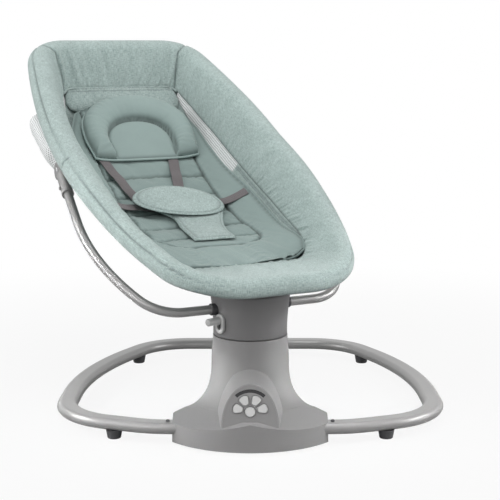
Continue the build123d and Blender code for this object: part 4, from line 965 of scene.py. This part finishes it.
def flap_surface(a, b, along, half, outline):
    """Padded flap at the head: top in the first half of a, underside in the second."""
    u = along[0] + (along[-1] - along[0]) * b
    v = np.interp(u, along, half) * np.cos(2 * pi * a)
    d = edge_distance(v, u, outline)
    top = 2 + 7 * puff(d, 16) + ripple(v + 0.6 * u, (17, 29, 47), 71) * smooth(d, 0, 10)
    base = pan(u) + SLING_WALL + FLAP_LIFT
    w = base + np.where(a <= 0.5, top, 2 * (1 - np.clip(d / 6, 0, 1)))
    # Painted shade round the flap's edge and along its seam, on top only
    tone = (0.5 * ridge(d, 2.0) + 0.6 * ridge(u - FLAP_SEAM, 1.3)) * (a <= 0.5)
    return seat_xyz(v, u, w), cloth_at(v + (a > 0.5) * UNDER_SHIFT, u), tone


def strap_surface(a, b, start, end, wide):
    """Strap of webbing that bows a little over the insert pad."""
    start, end = np.array(start, float), np.array(end, float)
    length = np.linalg.norm(end - start)
    way = (end - start) / length
    side = np.array((-way[1], way[0]))
    s = (a - 0.5) * wide
    v = start[0] + way[0] * b * length + side[0] * s
    u = start[1] + way[1] * b * length + side[1] * s
    lift = 4.5 * np.sin(pi * b) + 0.9 * np.sin(2 * pi * b * length / 52) + 0.8 * (1 - (2 * a - 1) ** 2)
    w = pad_base(v, u) + STRAP_LIFT + lift
    return seat_xyz(v, u, w), cloth_at(s, b * length)


def crotch_surface(a, b):
    """Crotch piece with a stitch line inside its edge, underside in the second half of a."""
    foot, head = CROTCH_LEFT[0][0], CROTCH_LEFT[-1][0]
    u = foot + (head - foot) * b
    low, high = curve_through(CROTCH_LEFT, u), curve_through(CROTCH_RIGHT, u)
    h = (high - low) / 2
    x = h * np.cos(2 * pi * a)
    v = (low + high) / 2 + x
    d = np.minimum(np.minimum(h - np.abs(x), u - foot), head - u)
    top = 1.2 + 5.2 * puff(d, 12) - 1.2 * ridge(d - 6, 1.3) + ripple(u + v * 0.4, (21, 37), 61) * 0.5
    rise = 3.5 * smooth(u, -130, -60)
    base = pan(u) + SLING_WALL + CROTCH_LIFT + rise + 3 * smooth(np.abs(v), 30, 90)
    w = base + np.where(a <= 0.5, np.maximum(top, 1.2), 1.2 * (1 - np.clip(d / 4, 0, 1)))
    # Painted shade along the stitch line on top and over the whole underside
    tone = 0.45 * ridge(d - 6, 1.0) * (a <= 0.5) + 0.4 * (a > 0.5)
    return seat_xyz(v, u, w), cloth_at(v + (a > 0.5) * UNDER_SHIFT, u), tone


def oval_surface(a, b):
    """Oval pad with a stitch line: top in the first half of b, underside in the second."""
    turn = 2 * pi * a
    r = np.sin(pi * b)
    x = OVAL_LONG * r * np.cos(turn)
    y = OVAL_SHORT * r * np.sin(turn)
    d = (1 - r) * OVAL_SHORT
    top = 1.5 + 4.0 * puff(d, 14) - 0.8 * ridge(d - 4.5, 1.0)
    under = 1.5 * (1 - np.clip(d / 6, 0, 1))
    v = x * cos(OVAL_TURN) - y * sin(OVAL_TURN)
    u = x * sin(OVAL_TURN) + y * cos(OVAL_TURN)
    middle = pan(OVAL_U) + SLING_WALL + OVAL_LIFT
    w = middle - 0.0006 * x * x + np.where(b < 0.5, top, under)
    # Painted shade along the stitch line on top and over the whole underside
    tone = 0.5 * ridge(d - 4.5, 0.9) * (b < 0.5) + 0.8 * (b >= 0.5)
    return seat_xyz(v, u + OVAL_U, w), cloth_at(x + (b > 0.5) * UNDER_SHIFT, y), tone


# Operators

class BABYSWING_OT_rim(bpy.types.Operator):
    """Padded cover over the rim and down the inner walls"""

    bl_idname = "babyswing.rim"
    bl_label = "Rim cover"

    def execute(self, context):
        look = context.scene.babyswing_seat
        material = heather("heather_cover", look)
        cover = new_grid("rim_cover", 700, 56, cover_surface, look.roll * 1000, look.seam * 1000)
        edit(cover, (bpy.ops.mesh.remove_doubles, {"threshold": WELD}))
        face_out(cover)
        modify(cover, "SOLIDIFY", thickness=COVER_THICK, offset=-1)
        dress(cover, material, "heather_fabric", "rim_cover_head", "rim_cover_foot")
        return {"FINISHED"}


class BABYSWING_OT_sling(bpy.types.Operator):
    """Sling under the seat with its lower walls"""

    bl_idname = "babyswing.sling"
    bl_label = "Sling"

    def execute(self, context):
        look = context.scene.babyswing_seat
        material = heather("heather_sling", look, 0.74)
        sling = new_grid("sling", 420, 60, sling_surface)
        edit(sling, (bpy.ops.mesh.remove_doubles, {"threshold": SLING_WELD}),
             (bpy.ops.mesh.select_mode, {"type": "FACE"}),
             (bpy.ops.mesh.select_all, {"action": "DESELECT"}))
        # The cloth is cut away behind the mesh
        for polygon in sling.data.polygons:
            local = np.array(polygon.center) - SEAT_ORIGIN
            u, v, w = local @ HEADWARD * 1000, local @ ACROSS * 1000, local @ SEATWARD * 1000
            behind_mesh = SLING_CUT_FOOT < u < SLING_CUT_HEAD and STRIP_LOW < w < STRIP_HIGH
            polygon.select = bool(behind_mesh and abs(v) > SLING_CUT_SIDE)
        pick_only(sling)
        bpy.ops.object.mode_set(mode="EDIT")
        bpy.ops.mesh.delete(type="FACE")
        bpy.ops.mesh.select_mode(type="VERT")
        bpy.ops.object.mode_set(mode="OBJECT")
        face_out(sling)
        modify(sling, "SOLIDIFY", thickness=SLING_THICK, offset=0)
        dress(sling, material, "sling_fabric", "seat_sling")
        return {"FINISHED"}


class BABYSWING_OT_windows(bpy.types.Operator):
    """Mesh windows, wall panels and bound mesh pouches of both side walls"""

    bl_idname = "babyswing.windows"
    bl_label = "Mesh windows"

    def execute(self, context):
        look = context.scene.babyswing_seat
        material = open_mesh("window_mesh", look.mesh)
        fabric = heather("heather_wall", look, 0.94)
        binding = heather("binding", look, 0.45)
        for sign, word in ((-1, "left"), (1, "right")):
            for name, foot, head, finish, slot in (
                    ("mesh_window", STRIP_FOOT, STRIP_HEAD, material, "mesh_fabric"),
                    ("wall_panel", PANEL_FOOT, STRIP_FOOT + PANEL_LAP, fabric, "heather_fabric")):
                ends = [edge_share(sign, u) for u in (foot, head)]
                window = new_grid(f"{name}_{word}", 160, 16, strip_surface, *ends)
                face_out(window)
                modify(window, "SOLIDIFY", thickness=MESH_THICK, offset=0)
                dress(window, finish, slot, *([f"mesh_panel_{word}"] if finish is material else []))
            ends = [near_share(sign, u) for u in (POUCH_FOOT, POUCH_HEAD)]
            pouch = new_grid(f"mesh_pouch_{word}", 90, 28, pouch_surface, *ends)
            face_out(pouch)
            modify(pouch, "SOLIDIFY", thickness=MESH_THICK, offset=0)
            dress(pouch, material, "mesh_fabric", f"mesh_panel_{word}")
            for edge, a in (("head", 0.985), ("foot", 0.015)):
                b = np.linspace(0.02, 0.98, 40)
                way = pouch_surface(np.full_like(b, a), b, *ends)[0]
                trim = tube_along(f"pouch_binding_{edge}_{word}", way, TRIM_R, False)
                dress(trim, binding, "heather_fabric")
        return {"FINISHED"}


class BABYSWING_OT_insert(bpy.types.Operator):
    """Quilted insert pad with its piping"""

    bl_idname = "babyswing.insert"
    bl_label = "Insert pad"

    def execute(self, context):
        look = context.scene.babyswing_seat
        material = smooth_lining("insert_lining", look.lining)
        along = np.linspace(PAD_EDGE[0][0], PAD_EDGE[-1][0], 160)
        half = line_through(PAD_EDGE, along)
        right, left = list(zip(half, along)), list(zip(-half, along))
        seam = look.seam * 1000
        pad = close_up(new_grid("insert_pad_quilted", 260, 250, insert_surface, right + left, seam))
        dress(pad, material, "sling_fabric", "insert_pad")
        edge = np.array(right + left[::-1])
        level = np.array([pad_base(*point) for point in edge]) + PAD_PIPING_LIFT
        points = seat_xyz(edge[:, 0], edge[:, 1], level)
        piping = tube_along("insert_piping", points, INSERT_PIPING_R, True)
        dress(piping, material, "sling_fabric")
        return {"FINISHED"}


class BABYSWING_OT_pillow(bpy.types.Operator):
    """Horseshoe head pillow with its piping"""

    bl_idname = "babyswing.pillow"
    bl_label = "Head pillow"

    def execute(self, context):
        look = context.scene.babyswing_seat
        material = smooth_lining("pillow_lining", shade(look.lining, 1.06))
        right, left = dome_sides(PILLOW_HALF, PILLOW_FOOT, PILLOW_HEAD)
        dish = sum(dome_sides(DISH_HALF, DISH_FOOT, DISH_HEAD), [])
        seam = look.seam * 1000
        pillow = close_up(new_grid("head_pillow_stuffed", 200, 150, pillow_surface, right + left, dish, seam))
        dress(pillow, material, "sling_fabric", "head_pillow")
        foot_half = PILLOW_HALF * DOME_FOOT
        bottom = [(v, PILLOW_FOOT) for v in np.linspace(-foot_half, foot_half, 40)]
        edge = np.array(bottom + right + left[::-1])
        v, u = edge.T
        lift = PILLOW_PIPING_LIFT + pillow_curl(v)
        points = seat_xyz(v * PILLOW_PIPING_OUT, u, pan(u) + SLING_WALL + lift)
        keep = np.concatenate(([True], np.linalg.norm(np.diff(points, axis=0), axis=1) > PILLOW_PIPING_STEP))
        piping = tube_along("pillow_piping", points[keep], PILLOW_PIPING_R, True)
        dress(piping, smooth_lining("piping_lining", shade(look.lining, 1.3)), "sling_fabric")
        return {"FINISHED"}


class BABYSWING_OT_flap(bpy.types.Operator):
    """Padded flap and piped seam at the head"""

    bl_idname = "babyswing.flap"
    bl_label = "Head flap"

    def execute(self, context):
        look = context.scene.babyswing_seat
        material = heather("heather_flap", look, 0.9)
        along = np.linspace(FLAP_EDGE[0][0], FLAP_EDGE[-1][0], 60)
        half = line_through(FLAP_EDGE, along)
        end_half = FLAP_EDGE[0][1]
        ends = [(v, u) for u in (along[0], along[-1]) for v in np.linspace(-end_half, end_half, 40)]
        outline = list(zip(half, along)) + list(zip(-half, along)) + ends
        flap = close_up(new_grid("head_flap_padded", 160, 40, flap_surface, along, half, outline))
        dress(flap, material, "heather_fabric")
        way = np.linspace(edge_share(1, HEAD_PIPING_END), edge_share(-1, HEAD_PIPING_END), 120)
        ev, eu, level = cover_edge(way)
        piping = tube_along("head_piping", seat_xyz(ev, eu, level + 0.5), TRIM_R, False)
        dress(piping, material, "heather_fabric")
        return {"FINISHED"}


class BABYSWING_OT_straps(bpy.types.Operator):
    """Shoulder and waist straps"""

    bl_idname = "babyswing.straps"
    bl_label = "Harness straps"

    def execute(self, context):
        look = context.scene.babyswing_seat
        material = ribbed_webbing("harness_webbing", look.webbing)
        for node, (start, end) in STRAPS.items():
            strap = new_grid(f"{node}_webbing", 10, 60, strap_surface, start, end, look.web * 1000)
            face_out(strap)
            modify(strap, "SOLIDIFY", thickness=WEB_THICK, offset=0)
            modify(strap, "BEVEL", width=WEB_ROUND, segments=2, limit_method="ANGLE")
            dress(strap, material, "webbing", node)
        return {"FINISHED"}


class BABYSWING_OT_crotch(bpy.types.Operator):
    """Wide crotch piece of the harness"""

    bl_idname = "babyswing.crotch"
    bl_label = "Crotch piece"

    def execute(self, context):
        look = context.scene.babyswing_seat
        material = heather("heather_crotch", look)
        crotch = close_up(new_grid("crotch_piece_padded", 90, 90, crotch_surface))
        dress(crotch, material, "heather_fabric", "crotch_piece")
        return {"FINISHED"}


class BABYSWING_OT_buckle_pad(bpy.types.Operator):
    """Oval pad over the buckle"""

    bl_idname = "babyswing.buckle_pad"
    bl_label = "Buckle pad"

    def execute(self, context):
        look = context.scene.babyswing_seat
        material = heather("heather_oval", look, 1.06)
        oval = close_up(new_grid("buckle_pad_oval", 120, 70, oval_surface))
        dress(oval, material, "heather_fabric", "buckle_pad")
        return {"FINISHED"}


class BABYSWING_OT_frame(bpy.types.Operator):
    """Finishes of the rigid pieces"""

    bl_idname = "babyswing.frame"
    bl_label = "Frame finishes"

    def execute(self, context):
        look = context.scene.babyswing_frame
        pedestal = moulded_plastic("pedestal_plastic", look.pedestal, 0.52)
        hub = moulded_plastic("hub_plastic", look.hub, 0.5)
        # Painted shade: the panel takes the pedestal's colour made darker, standing in for shade in its
        # recess and against the light on its upward tilt
        panel = moulded_plastic("panel_plastic_painted_shade", shade(look.pedestal, 0.84), 0.5)
        buttons = moulded_plastic("button_plastic", look.button, 0.42)
        dark = moulded_plastic("dark_plastic", look.dark, 0.45)
        smoked = moulded_plastic("smoked_window", shade(look.dark, 0.5), 0.16)
        tube = painted_tube("tube_coat", look.tube)
        rubber = soft_rubber("foot_rubber", look.dark)
        steel = bare_metal("plain_steel", (0.55, 0.55, 0.56))
        gears = moulded_plastic("gear_nylon", (0.68, 0.68, 0.64), 0.4)
        board = circuit_board("board_lacquer")
        named = {
            "pedestal_housing": pedestal, "hub_shell": hub, "hub_cap": hub, "control_panel": panel,
            "crescent_window": smoked, "control_board": board, "spindle_gear": gears, "motor_pinion": gears,
            "lever_escutcheon": buttons, "lock_lever": buttons, "buckle_release": buttons,
            "floor_pad": rubber,
        }
        groups = (("button_", buttons), ("side_connector_", tube), ("foot_", rubber), ("ring_tube_", tube),
                  ("arm_tube_", tube), ("arm_collar_", dark), ("lock_button_", dark), ("bearing_", steel),
                  ("rim_hoop_", steel), ("pivot_", steel), ("spindle", steel), ("ring_joiner", steel))
        for node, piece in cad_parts.items():
            material = named.get(node)
            if material is None:
                material = next((m for prefix, m in groups if node.startswith(prefix)), dark)
            piece.data.materials.clear()
            piece.data.materials.append(material)
        return {"FINISHED"}


class BABYSWING_OT_stage(bpy.types.Operator):
    """Floor, light and camera"""

    bl_idname = "babyswing.stage"
    bl_label = "Stage"

    def execute(self, context):
        look = context.scene.babyswing_stage
        bpy.ops.object.select_all(action="DESELECT")
        bpy.ops.mesh.primitive_plane_add(size=40, location=(0, 0, 0))
        floor = context.object
        floor.name = "studio_floor"
        f = Finish("studio_floor")
        cloud = f.noise(f.place("Object"), 1.5, 2)
        f.feed("Base Color", f.mix(cloud, (0.48, 0.48, 0.48), (0.52, 0.52, 0.52)))
        f.feed("Roughness", 0.9)
        f.feed("Specular IOR Level", 0.1)
        x, y, _ = f.split(f.place("Object"))
        away = f.add("ShaderNodeMapRange", {"interpolation_type": "SMOOTHSTEP"},
                     {"Value": x * x + y * y, "From Min": 0.2, "From Max": 2.5, "To Min": 0.9, "To Max": 1.0})
        self.seen_white(f, away)
        floor.data.materials.append(f.material)
        world = bpy.data.worlds.new("studio_air")
        context.scene.world = world
        world.use_nodes = True
        air = Tree(world.node_tree)
        camera_ray, transmission_ray, glossy_ray = (
            air.add("ShaderNodeLightPath", {}, {}, f"Is {kind} Ray")
            for kind in ("Camera", "Transmission", "Glossy"))
        seen = camera_ray.most(transmission_ray).most(glossy_ray)
        level = air.add("ShaderNodeMapRange", {}, {"Value": seen, "To Min": look.ambient, "To Max": 1.0})
        back = world.node_tree.nodes["Background"]
        back.inputs["Color"].default_value = (1, 1, 1, 1)
        air.tree.links.new(level.socket, back.inputs["Strength"])
        # Name, place, size and power of each lamp; the narrow low ones light the pedestal's sides
        lamps = (("left", (-2.7, -0.7, 1.25), 1.6, 42.0), ("right", (2.7, -0.5, 1.15), 1.6, 40.0),
                 ("top", (0.1, -0.3, 3.0), 1.6, 34.0), ("front", (-1.5, -2.4, 1.6), 1.4, 21.0),
                 ("left_low", (-1.3, 0.1, 0.8), 0.25, 0.34), ("right_low", (1.3, 0.1, 0.8), 0.25, 0.26))
        for name, place, size, power in lamps:
            lamp = bpy.data.lights.new(name, "AREA")
            lamp.size = size
            lamp.energy = power
            low = name.endswith("low")
            lamp.spread = radians(20) if low else pi
            holder = bpy.data.objects.new(name, lamp)
            context.scene.collection.objects.link(holder)
            holder.location = place
            aim = np.array((place[0] * 0.08, 0.0, 0.05) if low else (0.0, 0.15, 0.3)) - np.array(place)
            holder.rotation_euler = Vector(aim).to_track_quat("-Z", "Y").to_euler()
        camera = bpy.data.cameras.new("photo_camera")
        camera.lens = look.lens
        camera.sensor_width = 36.0
        camera.shift_x = -0.0004
        holder = bpy.data.objects.new("photo_camera", camera)
        context.scene.collection.objects.link(holder)
        holder.location = (0, -look.distance, look.height)
        holder.rotation_euler = (radians(90) - look.tilt, 0, 0)
        context.scene.camera = holder
        context.scene.view_settings.view_transform = "Standard"
        return {"FINISHED"}

    @staticmethod
    def seen_white(f, share):
        """Shows the floor near white to the camera and keeps its shadow."""
        seen = f.add("ShaderNodeLightPath", {}, {}, "Is Camera Ray") * share
        glow = f.add("ShaderNodeEmission", {}, {"Color": (1, 1, 1, 1), "Strength": 1.0})
        blend = f.add("ShaderNodeMixShader", {}, {0: seen, 1: Wire(f, f.shader.outputs[0]), 2: glow})
        f.tree.links.new(blend.socket, f.tree.nodes["Material Output"].inputs["Surface"])


class BABYSWING_PT_panel(bpy.types.Panel):
    """Sidebar with the settings and the build steps"""

    bl_label = "Baby swing"
    bl_idname = "BABYSWING_PT_panel"
    bl_space_type = "VIEW_3D"
    bl_region_type = "UI"
    bl_category = "Baby swing"

    def draw(self, context):
        scene = context.scene
        for group in (scene.babyswing_seat, scene.babyswing_frame, scene.babyswing_stage):
            for setting in group.__annotations__:
                self.layout.prop(group, setting)
        for step in STEPS:
            self.layout.operator(step.bl_idname)


STEPS = (BABYSWING_OT_stage, BABYSWING_OT_frame, BABYSWING_OT_rim, BABYSWING_OT_sling, BABYSWING_OT_windows,
         BABYSWING_OT_insert, BABYSWING_OT_pillow, BABYSWING_OT_flap, BABYSWING_OT_straps,
         BABYSWING_OT_crotch, BABYSWING_OT_buckle_pad)
CLASSES = (SeatLook, FrameLook, StageLook, *STEPS, BABYSWING_PT_panel)


def register():
    for each in CLASSES:
        bpy.utils.register_class(each)
    bpy.types.Scene.babyswing_seat = bpy.props.PointerProperty(type=SeatLook)
    bpy.types.Scene.babyswing_frame = bpy.props.PointerProperty(type=FrameLook)
    bpy.types.Scene.babyswing_stage = bpy.props.PointerProperty(type=StageLook)


def unregister():
    del bpy.types.Scene.babyswing_stage
    del bpy.types.Scene.babyswing_frame
    del bpy.types.Scene.babyswing_seat
    for each in reversed(CLASSES):
        bpy.utils.unregister_class(each)


def main():
    register()
    bpy.ops.babyswing.stage()
    bpy.ops.babyswing.frame()
    bpy.ops.babyswing.rim()
    bpy.ops.babyswing.sling()
    bpy.ops.babyswing.windows()
    bpy.ops.babyswing.insert()
    bpy.ops.babyswing.pillow()
    bpy.ops.babyswing.flap()
    bpy.ops.babyswing.straps()
    bpy.ops.babyswing.crotch()
    bpy.ops.babyswing.buckle_pad()


if __name__ == "__main__":
    main()
